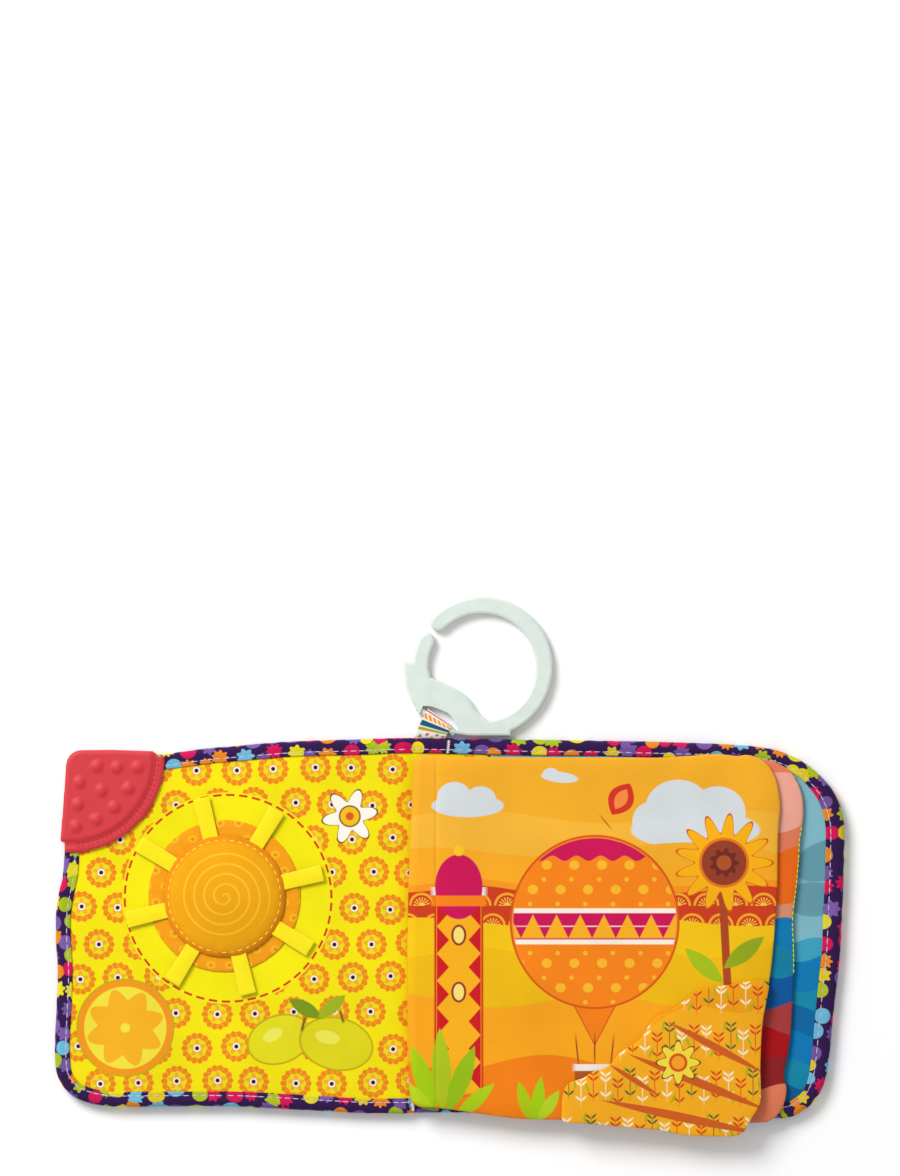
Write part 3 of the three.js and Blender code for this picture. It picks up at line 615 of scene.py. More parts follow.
def tiled(cloth, across, up, stagger=0.5, wander=0):
    """Sets the motifs that follow into staggered rows of cells, in mm, each a little off its place."""
    u, v = cloth.whole.parts()
    row = (v / up).sum("FLOOR")
    column = u / across + row * stagger
    cell = column.sum("FLOOR")
    off_x, off_y = ((row * a + cell * b).sum("SINE") * wander for a, b in ((4.1, 2.7), (2.3, 5.2)))
    cloth.place = u.make("CombineXYZ", {0: (column - cell - 0.5) * across + off_x,
                                        1: (v / up - row - 0.5) * up + off_y})


tiled(front_print, 17.8, 15.9, wander=0.8)
front_print.motifs((
    ("rosette", (238, 136, 20), 0, 0, 7.4, 14, 0.05),
    *[("wedge", (250, 190, 40), 5.9 * math.sin(math.tau * k / 14), 5.9 * math.cos(math.tau * k / 14), 0.6, 0.95,
       -360 * k / 14) for k in range(14)],
    ("rosette", (234, 220, 8), 0, 0, 4.9, 9, 0.05),
    ("rosette", (248, 172, 40), 0, 0, 4.2, 5, 0.26, 18),
    ("oval", (250, 248, 240), 0, 0, 1.8, 1.8),
    ("oval", (30, 24, 26), 0, 0, 1.15, 1.15),
))
front_print.place = front_print.whole
round_x, round_y = sun_x + 1.6, sun_y - 1
front_print.lay((246, 234, 0), front_print.oval(round_x, round_y, 48.6, 48.6))
dash = front_print.saw(round_x, round_y, 50).sum("LESS_THAN", 0.66)
dash_outer, dash_inner = (front_print.oval(round_x, round_y, radius, radius) for radius in (47.9, 46.9))
front_print.lay((214, 40, 24), dash * (dash_outer * (1 - dash_inner)))
slice_x, slice_y = -148.4, -46.7
front_print.motifs((
    ("oval", (196, 170, 12), slice_x, slice_y, 22.6, 22.6),
    ("oval", (245, 150, 24), slice_x, slice_y, 21.8, 21.8),
    ("oval", (242, 226, 60), slice_x, slice_y, 19, 19),
    *[("leaf", (246, 178, 30), slice_x + 10 * math.cos(math.tau * k / 8 + 0.3),
       slice_y + 10 * math.sin(math.tau * k / 8 + 0.3), 8.2, 5.4, 360 * k / 8 + 17) for k in range(8)],
    ("oval", (196, 170, 12), -78, -52, 15.4, 11.4, 20), ("oval", (228, 220, 22), -78, -52, 14.6, 10.6, 20),
    ("oval", (240, 234, 90), -81, -50, 5, 3, 30),
    ("oval", (196, 170, 12), -52, -54, 17.4, 12.4, -12), ("oval", (222, 214, 18), -52, -54, 16.6, 11.6, -12),
    ("oval", (238, 232, 84), -56, -51, 6, 3.2, -12),
    ("leaf", (120, 150, 20), -66, -38, 3.4, 9, 60), ("leaf", (160, 180, 24), -54, -37, 3.2, 8.4, -50),
    ("box", (140, 96, 30), -67, -45, 0.8, 4, -14), ("box", (140, 96, 30), -49.5, -41.5, 0.8, 3.6, 16),
    ("rosette", (120, 84, 24), -45.8, 50, 13.4, 6, 0.24, 10),
    ("rosette", (250, 246, 232), -45.8, 50, 12.6, 6, 0.24, 10),
    ("oval", (120, 84, 24), -45.8, 50, 5.2, 5.2), ("oval", (246, 190, 20), -45.8, 50, 4.5, 4.5),
    ("oval", (214, 90, 30), -45.8, 50, 2, 2),
))
front_finish = front_print.done()


def over_filling(gap):
    """The height of a lining in mm: it rises from its caught edge over the filling of the cover."""
    return 5.4 + 1.0 * (1 - math.exp(-gap / 5))


def lining_height(x, y, gap, around):
    level = over_filling(gap)
    spine = 1 / (1 + math.exp(-(x + 18.5) / 1.2))
    level -= spine * (level - 4.4) * (x < spine_half + 1)
    round_sun = min(1, max(0, math.hypot(x - sun_x, y - sun_y) - 40) / 30)
    gathers = 0.3 * pucker(around, 5, 2) * math.exp(-gap / 9)
    return level + gathers + 0.45 * round_sun * (1 - spine) * max(0, wave(x, y, 4, 26))


lining_line = drawn_in(edge_line, 1.1)
front_line = clipped(lining_line, 0, spine_half - 0.1, -1)
front_lining = sewn("front_lining_cloth", sheet_of(front_line, 3.2, (1.8, 2, 2.4), cloth_thickness, lining_height),
                    front_finish)
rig.replaces(front_lining, "front_lining", "spine_lining")
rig.slot(front_lining, "yellow_lining")
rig.blend(front_lining, "back_cover", "front_cover", start=blend_right, end=blend_left)
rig.sheet(front_lining, held="stretched", **cut_size(front_line), rests_on=["front_crinkle_film_sheet"])


# The blue lining: printed cotton over the back cover, a calm sea under a pale sky. It is
# cut on the same line as the yellow one, and meets it under the pages beside the spine.
def printed(name, ground, motifs, cell=None):
    """A print that is one table of motifs, laid once or in staggered rows of cells."""
    cloth = Print(name, ground)
    if cell:
        tiled(cloth, *cell)
    cloth.motifs(motifs)
    return cloth.done()


back_finish = printed("back_lining_print", (128, 184, 198), (
    ("oval", (250, 214, 40), 60, 40, 14, 14),
    ("oval", (100, 156, 172), 172, 30, 16, 9, 20), ("oval", (100, 156, 172), 166, 12, 14, 8),
    ("oval", (232, 240, 240), 100, 56, 20, 7), ("oval", (232, 240, 240), 108, 61, 11, 8),
    ("hill", (60, 160, 190), -8, 2.6, 40, 0.4), ("hill", (0, 122, 182), -14, 2.6, 36, 2),
    ("hill", (12, 136, 170), -28, 2.4, 34, 0), ("hill", (0, 102, 160), -38, 2.4, 38, 1.2),
    ("hill", (0, 120, 182), -50, 2.4, 32, 2.6), ("hill", (10, 134, 168), -62, 2.2, 36, 0.5),
    ("hill", (0, 92, 150), -73, 2.2, 30, 2),
    ("wedge", (246, 244, 236), 92, 14, 11, 17), ("wedge", (230, 60, 40), 108, 10, 8, 13),
    ("box", (244, 150, 30), 97, -8, 19, 3.6), ("box", (140, 60, 30), 98, 6, 0.8, 16),
))


def blue_height(x, y, gap, around):
    in_sight = min(1, max(0, x - 158) / 10)
    gathers = 0.3 * pucker(around, 5, 3) * math.exp(-gap / 9)
    return over_filling(gap) + in_sight * (gathers + 0.4 * max(0, wave(x, y, 6, 22)))


back_line = clipped(lining_line, 0, spine_half + 0.2, 1)
back_lining = sewn("back_lining_cloth", sheet_of(back_line, 3.2, (1.8, 2, 2.4), cloth_thickness, blue_height),
                   back_finish)
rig.replaces(back_lining, "back_lining")
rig.ride(back_lining, "back_cover")
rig.slot(back_lining, "blue_lining")
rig.sheet(back_lining, held="stretched", **cut_size(back_line), rests_on=["back_crinkle_film_sheet"])

# The binding: one purple printed strip folded over the raw edge of the covers and the
# spine, from one side of the silicone corner right round to the other, and sewn through.
binding_line = smooth_line(bound_edge, 1.4, closed=False)
binding_length = sum((b - a).length for a, b in zip(binding_line, binding_line[1:])) / mm
binding_profile = [(7.2, 5.7), (7.6, 6.3), (7.2, 6.8), (6.5, 6.9), (5.5, 6.62), (4.2, 6.98), (1.9, 7.0), (0.4, 6.1),
                   (0.0, 4.6), (-0.1, 3.3), (0.0, 2.0), (0.5, 0.75), (1.8, 0.12), (4.2, 0.06), (5.5, 0.32), (6.4, 0.06),
                   (7.2, 0.12), (7.5, 0.7), (6.6, 0.85), (2.4, 0.85), (0.9, 2.2), (0.8, 4.4), (2.2, 5.9), (6.6, 5.9),
                   (7.2, 5.7)]
confetti = Print("binding_print", (46, 14, 74))
confetti_colours = [(210, 8, 84), (164, 186, 22), (108, 182, 214), (116, 84, 158), (230, 134, 20), (228, 214, 20),
                    (176, 190, 20), (122, 90, 164), (222, 196, 22), (210, 8, 84), (112, 80, 152), (230, 134, 20)]
bit_reach, bit_turn, bit_tone, bit_kind = scattered(confetti, 8.4, 2)
lobes = (bit_kind * 3.99).sum("FLOOR") * 2 + 3
bit_edge = 3.5 + ((bit_turn + bit_tone * 6.28) * lobes).sum("COSINE") * bit_kind.sum("GREATER_THAN", 0.5) * 0.6
bit_stops = [(k / len(confetti_colours), dye(*colour)) for k, colour in enumerate(confetti_colours)]
bit_colour = bit_tone.make("ValToRGB", {0: bit_tone}, stops=bit_stops)
bit_colour.socket.node.color_ramp.interpolation = "CONSTANT"
confetti.lay(bit_colour, (bit_edge - bit_reach).step(3))
binding_finish = confetti.done(weave=0.5)


def across_edge(place):
    """The place on the bound edge and the way inwards from it, at a share of its length."""
    at = min(max(place, 0), 1) * (len(binding_line) - 1)
    low = min(int(at), len(binding_line) - 2)
    point = binding_line[low].lerp(binding_line[low + 1], at - low)
    along = (binding_line[min(low + 2, len(binding_line) - 1)] - binding_line[max(low - 1, 0)]).normalized()
    return point, Vector((-along.y, along.x)), along


def binding_width(x, y):
    """How broad the strip lies, against its usual breadth: it leans outwards on the right side."""
    return 0.93 + 0.22 * min(1, max(0, x - 165) / 12) + 0.03 * wave(x, y, 8, 25)


def spine_drop(x):
    """The share of its height that the thinner spine leaves to the strip, at a place along the book in mm."""
    near = min(1, max(0, (21 - abs(x)) / 5))
    return 1 - 0.24 * near * near * (3 - 2 * near)


def unit_grid(along, up):
    """A grid of faces from -0.5 to 0.5 both ways, for a strip that is bent to shape."""
    bm = bmesh.new()
    bmesh.ops.create_grid(bm, x_segments=along, y_segments=up, size=0.5)
    return bm


steps_across = len(binding_profile) - 1
strip = unit_grid(len(binding_line) - 1, steps_across)
profile_way = [0]
for (n0, z0), (n1, z1) in zip(binding_profile, binding_profile[1:]):
    profile_way.append(profile_way[-1] + math.hypot(n1 - n0, z1 - z0))
print_places(strip, lambda vert: ((vert.co.x + 0.5) * binding_length * mm,
                                  profile_way[round((vert.co.y + 0.5) * steps_across)] * mm))
for vert in strip.verts:
    share, column = vert.co.x + 0.5, round((vert.co.y + 0.5) * steps_across)
    point, inwards, along = across_edge(share)
    inset, height = binding_profile[column]
    way = share * binding_length
    width = binding_width(*(point / mm))
    plump = 0.28 * pucker(way, 4, 4) * math.sin(math.pi * column / steps_across)
    spot = point + inwards * (inset * width - plump * (inset < 2.5)) * mm
    lift = 0.16 * pucker(way, 3.4, 7) * (inset > 3) * (height > 3)
    vert.co = (*spot, max(0.03, (height + lift) * spine_drop(point.x / mm)) * mm)
bmesh.ops.remove_doubles(strip, verts=strip.verts, dist=0.005 * mm)
bmesh.ops.recalc_face_normals(strip, faces=strip.faces)
binding = sewn("edge_binding", strip, binding_finish)
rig.replaces(binding, "front_binding", "front_binding_top", "back_binding", "spine_binding_top", "spine_binding_bottom")
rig.slot(binding, "binding")
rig.blend(binding, "back_cover", "front_cover", start=blend_right, end=blend_left)
strip_breadth = profile_way[-1] / 2  # the profile goes round both faces of the strip
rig.sheet(binding, flat=(binding_length * mm, strip_breadth * mm), held="folded", rests_on=["outer_cloth"])

# The binding's thread: pale running stitches through both faces of the strip, and two
# white bar tacks across it at the spine. Each stitch is one small rounded bead.
thread = plain_finish("thread", (196, 184, 206), 0.6, 0.6, 0.1, Sheen_Weight=0.3)


def stitched(name, places, length, thickness, finish):
    """A row of stitches, each a thread bead with rounded ends, at places with a direction."""
    bead = bmesh.new()
    bmesh.ops.create_uvsphere(bead, u_segments=6, v_segments=5, radius=mm / 2)
    bmesh.ops.scale(bead, verts=bead.verts, vec=(length, thickness, thickness))
    bead_mesh = bpy.data.meshes.new("bead")
    bead.to_mesh(bead_mesh)
    bm = bmesh.new()
    for place, direction in places:
        before = len(bm.verts)
        bm.from_mesh(bead_mesh)
        bm.verts.ensure_lookup_table()
        turn = direction.to_track_quat("X", "Z").to_matrix()
        for vert in bm.verts[before:]:
            vert.co = turn @ vert.co + place
    bpy.data.meshes.remove(bead_mesh)
    return sewn(name, bm, finish, smoothing=0)


stitch_step = 3.9
stitch_places = []
for count in range(int(binding_length / stitch_step)):
    point, inwards, along = across_edge((count + 0.5) * stitch_step / binding_length)
    spot = point + inwards * 5.5 * binding_width(*(point / mm)) * mm
    for height in (6.74, 0.3):
        stitch_places.append((Vector((*spot, height * spine_drop(spot.x / mm) * mm)), Vector((*along, 0))))
binding_stitch = stitched("binding_stitch", stitch_places, 3.5, 0.5, thread)
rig.slot(binding_stitch, "binding")
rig.blend(binding_stitch, "back_cover", "front_cover", start=blend_right, end=blend_left)

tacks, tack_rows = [], 13
for x, top, bottom, lean in ((-0.5, 84.4, 79, 0.1), (-17.4, -80, -84.4, -0.12)):
    for row in range(tack_rows):
        y = bottom + (top - bottom) * row / (tack_rows - 1)
        height = (7.02 - 0.25 * (row % 2)) * spine_drop(x)
        tacks.append((Vector((x + lean * (y - top), y, height)) * mm, Vector((1, 0.25 * (-1) ** row, 0))))
bar_tacks = stitched("bar_tacks", tacks, 1.7, 0.45, plain_finish("white_thread", (236, 232, 226), 0.6, 0.6, 0.1))
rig.slot(bar_tacks, "binding")
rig.blend(bar_tacks, "back_cover", "front_cover", start=blend_right, end=blend_left)

# The inner page: two printed cloths sewn face to face and turned, with crinkle film in
# between. Its left end is sewn down to the spine, and it shows beyond the page above it.
page_b_edge = [
    (-6.8, 60), (-6.8, 70), (-6.2, 74.6), (-4, 76), (0, 76.2), (40, 76.4), (90, 76.6), (130, 76.4), (143.4, 76),
    (149.3, 74.4), (155.3, 71), (158.9, 65),
    (161, 59.1), (161.5, 52.7), (161, 46.7), (159.8, 39.2), (159.4, 31.6), (158.5, 20.2), (157.1, 8.7), (156.6, 0.5),
    (157, -9.2), (157.1, -20.6), (156.4, -34.4), (155.7, -47.2), (154.3, -58.6), (152.3, -68.2), (153.8, -73.8),
    (153, -79.7), (150.7, -85.2), (146.1, -88.9), (140.6, -90), (110, -89.3), (60, -86.6), (20, -84.6), (0, -83.8),
    (-4, -83.4), (-6.2, -82.4), (-6.8, -78), (-6.8, -60),
]
page_b_front = printed("page_b_front_print", (226, 124, 88), (
    ("oval", (240, 168, 148), 148, 56, 22, 14, 10), ("oval", (240, 168, 148), 120, 62, 18, 9),
    ("oval", (244, 186, 60), 40, 40, 17, 17), ("oval", (250, 214, 90), 40, 40, 12, 12),
    ("hill", (236, 104, 14), 26, 3.4, 52, 0.6, 0.05), ("hill", (216, 142, 108), 12, 2.2, 44, 2),
    ("hill", (0, 122, 180), 2, 2, 30, 1), ("hill", (10, 128, 164), -10, 2, 34, 0),
    ("hill", (0, 86, 156), -22, 2, 28, 2.4), ("hill", (168, 58, 56), -36, 4, 70, 5.2),
    ("hill", (172, 4, 18), -48, 3, 46, 1.5), ("hill", (142, 28, 34), -62, 2.4, 40, 3),
    ("hill", (226, 124, 88), -74, 2, 36, 0),
    ("wedge", (246, 240, 226), 66, 24, 12, 18), ("wedge", (120, 190, 40), 84, 20, 8, 14),
    ("box", (120, 50, 30), 72, 2, 20, 4), ("box", (120, 50, 30), 72, 16, 0.8, 14),
))
page_b_back = printed("page_b_back_print", (108, 196, 206), (
    ("rosette", (250, 246, 236), 0, 0, 6, 5, 0.2), ("oval", (250, 200, 30), 0, 0, 2.4, 2.4),
    ("oval", (20, 120, 170), 9.2, 8, 1.2, 1.2), ("oval", (20, 120, 170), -9.2, -8, 1.2, 1.2),
), cell=(22, 19))
page_b_level, page_half, page_seam = 8.0, 1.25, 0.35
page_top, page_foot = 77.7, -82.9


def page_swell(x, y):
    """The soft lie of the open pages, the same for each, so that they rest on one another."""
    return 0.42 * (1 + wave(x, y, 12, 44)) + 0.25 * max(0, wave(x, y, 15, 17)) * min(1, max(0, x - 20) / 60)


def cushion(gap, roll=2.2, half=page_half, seam=page_seam):
    """Half a pad's thickness in mm at a distance from its edge."""
    return seam + (half - seam) * (1 - math.exp(-gap / roll))


def end_gap(y):
    """A place's distance in mm from the upper page's edges at the top and the foot of the book."""
    return max(0, min(page_top - y, y - page_foot))


def slab_of(line, step, rings):
    """Two cut faces a millimetre apart, joined along their edge, and the height of the middle between them."""
    bm = cut_cloth(line, step, rings)
    bmesh.ops.recalc_face_normals(bm, faces=bm.faces)
    thickened(bm, 1)
    return bm, sum(vert.co.z for vert in bm.verts) / len(bm.verts)


def pad_of(line, step, rings, centre, half, seam, open_end=-100):
    """Two cloths sewn edge to edge over a filling, of half the thickness each side, and full at the open end."""
    bm, middle = slab_of(line, step, rings)
    print_places(bm)
    for face in bm.faces:
        face.material_index = int(face.calc_center_median().z < middle - 0.2 * mm)
    verts = bm.verts[:]
    for vert, gap, around in zip(verts, *along_edge(line, verts)):
        x, y = vert.co.xy / mm
        side = 1 if vert.co.z > middle else -1
        roll = 2.2 + 1.8 * min(1, max(0, x - 60) / 60)
        if x < open_end:
            gap = max(gap, end_gap(y))
        puff = cushion(gap, roll, half, seam) + 0.2 * pucker(around, 6, 9) * math.exp(-gap / 6)
        vert.co.z = (centre(x, y) + page_swell(x, y) + side * puff) * mm
    bmesh.ops.recalc_face_normals(bm, faces=bm.faces)
    return bm


def page_b_centre(x, y):
    return page_b_level - 2.0 * (0.5 + 0.5 * math.cos(math.pi * min(1, max(0, (x + 12) / 14))))


page_b = sewn("inner_page", pad_of(smooth_line(page_b_edge[::-1], 3), 3.2, (0.5, 1, 1.6, 2.4), page_b_centre,
                                   page_half, page_seam), page_b_front, page_b_back)
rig.replaces(page_b, "page_b_face_cloth", "page_b_back_cloth", "page_b_gusset")
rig.slot(page_b, "page_b_cloth")
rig.blend(page_b, "back_cover", "page_b", start=(-6.8 * mm, 0, 6 * mm), end=(-1 * mm, 0, 6 * mm))
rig.padded(page_b, fill=0.2)

overlock = []
right_side = [point for point in smooth_line(page_b_edge, 2.4, closed=False)
              if point.x > 150 * mm and -23 * mm < point.y < 45 * mm]
for here, after in zip(right_side, right_side[1:]):
    x, y = here / mm
    height = page_b_centre(x, y) + page_swell(x, y) + 0.28
    overlock.append((Vector((x - 0.2, y, height)) * mm, Vector((*(after - here), 0))))
lime_thread = plain_finish("lime_thread", (190, 212, 24), 0.6, 0.6, 0.1)
edge_thread = stitched("page_edge_thread", overlock, 2.3, 0.6, lime_thread)
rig.ride(edge_thread, "page_b")
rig.slot(edge_thread, "page_b_cloth")

# The upper page: the same make, printed on its face with a bright field, a spotted
# balloon, a striped tower and clouds. Its left end stays open, under the lap of its root.
page_a_edge = [
    (-7.2, 76.5), (-7.2, 52.7), (-7.2, 20.2), (-7.2, -11.9), (-7.2, -44), (-7.2, -76), (-7.2, -81.4), (-7.1, -82.4),
    (-6.4, -83), (0, -83.6), (19.2, -86.4), (32.1, -87.9), (51.3, -88.4), (90, -89), (128, -89.4), (136, -88),
    (139.2, -84), (140, -76), (140.6, -64), (142, -48), (144, -34), (145.8, -24.3), (147.3, -12.8), (148.4, 2.7),
    (149.3, 14.7),
    (149.5, 27.9), (149.8, 43.1), (150.7, 54.5), (149.8, 62.8), (147.7, 69.6), (143.8, 74.7), (139.2, 77.4),
    (134.7, 78.3), (131, 77.5), (123.7, 78.6), (112.7, 78), (96.2, 77), (80, 77), (32, 77.1), (-2, 77.6),
    (-6.4, 77.8), (-7.1, 77.6),
]
page_a_level = 10.9
page_a_print = Print("page_a_front_print", (243, 173, 36))
cloud, red_fan, spot_gold = (214, 220, 222), (206, 60, 22), (250, 186, 40)
crown_pink, band_cream = (204, 10, 84), (252, 240, 224)
page_a_print.motifs((
    ("hill", (246, 182, 52), 50, 3, 120, 1), ("hill", (248, 170, 30), 34, 2, 90, 2),
    ("oval", cloud, 8, 55, 17, 5.4), ("oval", cloud, 2, 59, 8, 7), ("oval", cloud, 14, 58.5, 7, 5.5),
    ("oval", cloud, 50, 68, 9, 2.6, -6), ("oval", cloud, 46, 69.4, 4, 3),
    ("oval", cloud, 112, 44, 30, 9), ("oval", cloud, 104, 54, 15, 13), ("oval", cloud, 122, 52, 13, 12),
    ("oval", cloud, 92, 48, 9, 9), ("oval", (243, 173, 36), 112, 33, 36, 5.5),
    ("hill", (248, 150, 22), 20, 1.6, 64, 0.5), ("hill", red_fan, 17, 1.6, 64, 0.5),
))
fan_ground = page_a_print.hill(17, 1.6, 64, 0.5)
tiled(page_a_print, 13, 9.4)
fan_rays = page_a_print.saw(0, -4.7, 16).sum("GREATER_THAN", 0.55)
page_a_print.motifs((("oval", (248, 168, 40), 0, -4.7, 6.1, 6.1), ("oval", red_fan, 0, -4.7, 5, 5)), fan_ground)
page_a_print.motifs((("oval", (250, 190, 60), 0, -4.7, 4, 4),), fan_ground * fan_rays)
page_a_print.motifs((("oval", (250, 200, 70), 0, -4.7, 1.6, 1.6),), fan_ground)
page_a_print.place = page_a_print.whole
page_a_print.motifs((
    ("hill", (246, 196, 8), 2, 2, 100, 2.4), ("hill", (240, 186, 4), -12, 2.4, 70, 0.4),
    ("hill", (250, 166, 20), -34, 3, 90, 3.2), ("hill", (244, 128, 10), -62, 3.4, 84, 4.6),
    # the sunflower at the right
    ("box", (176, 70, 32), 126, -16, 2, 40, 3), ("leaf", (150, 170, 20), 134, -12, 4, 12, -52),
    ("leaf", (166, 190, 16), 116, -18, 4, 12, 48),
    ("rosette", (214, 90, 20), 125, 29, 23, 13, 0.2), ("rosette", (250, 178, 6), 125, 29, 22, 13, 0.2),
    ("oval", (232, 120, 20), 125, 29, 11.6, 11.6), ("oval", (150, 60, 34), 125, 29, 10.4, 10.4),
    ("rosette", (110, 40, 30), 125, 29, 7, 9, 0.14), ("oval", (176, 80, 36), 125, 29, 3.6, 3.6),
))
# the balloon: spots on orange, between a pink crown and a pink skirt
balloon_x, balloon_y, balloon_r = 66, 2, 38
page_a_print.motifs((
    ("wedge", (214, 84, 14), balloon_x, balloon_y - 37, 21, 20, 180),
    ("wedge", (246, 128, 14), balloon_x, balloon_y - 37, 19.6, 19, 180),
    ("oval", (214, 84, 14), balloon_x, balloon_y, balloon_r + 0.9, balloon_r + 1.9),
    ("oval", (248, 132, 16), balloon_x, balloon_y, balloon_r, balloon_r + 1),
))
balloon = page_a_print.oval(balloon_x, balloon_y, balloon_r - 0.6, balloon_r + 0.4)
tiled(page_a_print, 12.6, 11.2)
page_a_print.motifs((("oval", spot_gold, 0, 0, 2.5, 2.3), ("oval", spot_gold, 5, 4.6, 1.2, 1.2)), balloon)
page_a_print.place = page_a_print.whole
page_a_print.lay(crown_pink, balloon * (1 - page_a_print.hill(31, 1.2, 11, 0)))
page_a_print.motifs((("box", band_cream, balloon_x, 0, 60, 8.4), ("box", crown_pink, balloon_x, 0, 60, 6.2),
                     ("box", band_cream, balloon_x, 0, 60, 0.4)), balloon)
zig_u, zig_v = page_a_print.place.parts()
zig = zig_u.sum("PINGPONG", 5.4)
page_a_print.lay((250, 176, 30), balloon * page_a_print.box(balloon_x, 0, 60, 5.6)
                 * (zig * 2 - 5.4 - zig_v).step(2))
page_a_print.motifs((
    ("box", (150, 60, 30), balloon_x - 8, -57, 0.5, 9, 6), ("box", (150, 60, 30), balloon_x + 8, -57, 0.5, 9, -6),
    ("box", (150, 60, 30), balloon_x, -56, 0.5, 9),
    ("box", (176, 84, 32), balloon_x, -71, 9.4, 6.4), ("box", (240, 236, 228), balloon_x, -64.4, 10.6, 1.7),
    # the tower at the left
    ("box", (214, 60, 20), 4, -32, 11.4, 46), ("box", (250, 178, 20), 4, -32, 10.4, 45.4),
))
tower = page_a_print.box(4, -32, 10.2, 45.2)
tower_turn = zig_v.sum("PINGPONG", 6.2) * 0.9
for middle in (-6.6, 14.6):
    page_a_print.lay((206, 20, 30), tower * (tower_turn - (zig_u - middle).sum("ABSOLUTE") + 0.6).step(2))
page_a_print.motifs((
    ("box", (240, 236, 228), 4, 16, 13.4, 2), ("oval", crown_pink, 4, 18, 11, 15),
    ("box", (246, 128, 14), 4, 11.6, 13.4, 2.6), ("oval", (250, 200, 30), 4, 34.5, 2.6, 2.6),
    ("oval", (150, 40, 40), 4, -4, 3.6, 5), ("oval", (250, 226, 120), 4, -4, 2.6, 4),
    ("oval", (150, 40, 40), 4, -30, 3.6, 5), ("oval", (250, 226, 120), 4, -30, 2.6, 4),
    # the small kite in the sky
    ("leaf", (214, 50, 30), 78, 58, 6, 8.4, -30), ("leaf", (246, 140, 60), 78, 58, 3, 5.4, -30),
    ("box", (150, 40, 40), 71, 47.5, 0.4, 5, 40),
    # grass
    ("leaf", (164, 204, 4), -12, -70, 4.4, 17, 20), ("leaf", (174, 197, 20), -4, -66, 4.6, 20, 2),
    ("leaf", (150, 190, 10), 5, -70, 4.4, 17, -22), ("leaf", (182, 210, 20), -15, -78, 3.4, 12, 48),
    ("leaf", (174, 204, 10), 11, -80, 3.4, 13, -48), ("leaf", (174, 197, 4), 34, -80, 3, 10, 16),
    ("leaf", (164, 204, 4), 40, -80, 3.2, 12, -8), ("leaf", (182, 210, 30), 45, -82, 3, 9, -34),
))
page_a_front = page_a_print.done()
page_a_back = printed("page_a_back_print", (246, 176, 40), (
    ("rosette", (236, 90, 30), 0, 0, 6.4, 8, 0.12), ("oval", (250, 226, 60), 0, 0, 3, 3),
    ("oval", (250, 250, 240), 9.8, 8.4, 1.4, 1.4), ("oval", (250, 250, 240), -9.8, -8.4, 1.4, 1.4),
), cell=(24, 20))


def page_a_centre(x, y):
    return page_a_level - 0.5 * math.exp(-max(0, x + 20) / 4)


page_a = sewn("upper_page", pad_of(smooth_line(page_a_edge, 3), 3, (0.5, 1, 1.6, 2.4), page_a_centre,
                                   page_half, page_seam, open_end=0), page_a_front, page_a_back)
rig.replaces(page_a, "page_a_face_cloth", "page_a_back_cloth")
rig.slot(page_a, "page_a_cloth")
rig.blend(page_a, "page_b", "page_a", start=(-7.2 * mm, 0, 11 * mm), end=(-1.2 * mm, 0, 11 * mm))
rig.padded(page_a, fill=0.2)

# The upper page's root: the same printed cloth, which laps over the page's left end, rolls
# down the far side and is sewn to the spine. A grid is laid along a profile at each place
# up the book, and given its thickness downwards.
root_right, root_foot, root_length = -5.9, -82.8, 160.9
root_places = [(-82.8, -14), (-81, -17.4), (-76, -18.6), (-44, -19.4), (-11.9, -19.6), (20.2, -19), (52.7, -17.6),
               (76.5, -16.8), (78.1, -14.6)]
root_bm = unit_grid(90, 26)
root_ways, root_breadths = {}, []
for vert in root_bm.verts:
    y = root_foot + root_length * (vert.co.x + 0.5)
    left = float(np.interp(y, *zip(*root_places)))
    profile = [(x, page_a_centre(x, y) + page_swell(x, y) + cushion(end_gap(y)) + rise) for x, rise in (
        (root_right, -0.4), (-7, 0.02), (-8.4, 0.05), (-11, 0),
        (left + 3.4, 0), (left + 1.2, -0.5), (left + 0.1, -1.9))]
    profile += [(left, 7.6), (left + 0.8, 5.8), (left + 3, 5.3)]
    ways = np.cumsum([0] + [math.dist(a, b) for a, b in zip(profile, profile[1:])])
    root_breadths.append(ways[-1])
    way = (0.5 - vert.co.y) * ways[-1]
    x, z = (float(np.interp(way, ways, part)) for part in zip(*profile))
    root_ways[vert.index] = Vector((root_right - way, y)) * mm
    vert.co = Vector((x + 0.1 * pucker(y, 9, 4) * min(1, way / 5), y, z)) * mm
print_places(root_bm, lambda vert: root_ways[vert.index])
turned_up(root_bm)
page_root = sewn("upper_page_root", thickened(root_bm, cloth_thickness), page_a_front)
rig.replaces(page_root, "page_a_gusset")
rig.slot(page_root, "page_a_cloth")
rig.blend(page_root, "back_cover", "front_cover", start=blend_right, end=blend_left)
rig.sheet(page_root, flat=(float(max(root_breadths)) * mm, root_length * mm), held="folded",
         area=float(np.mean(root_breadths)) * mm * root_length * mm, rests_on=["front_lining_cloth"])

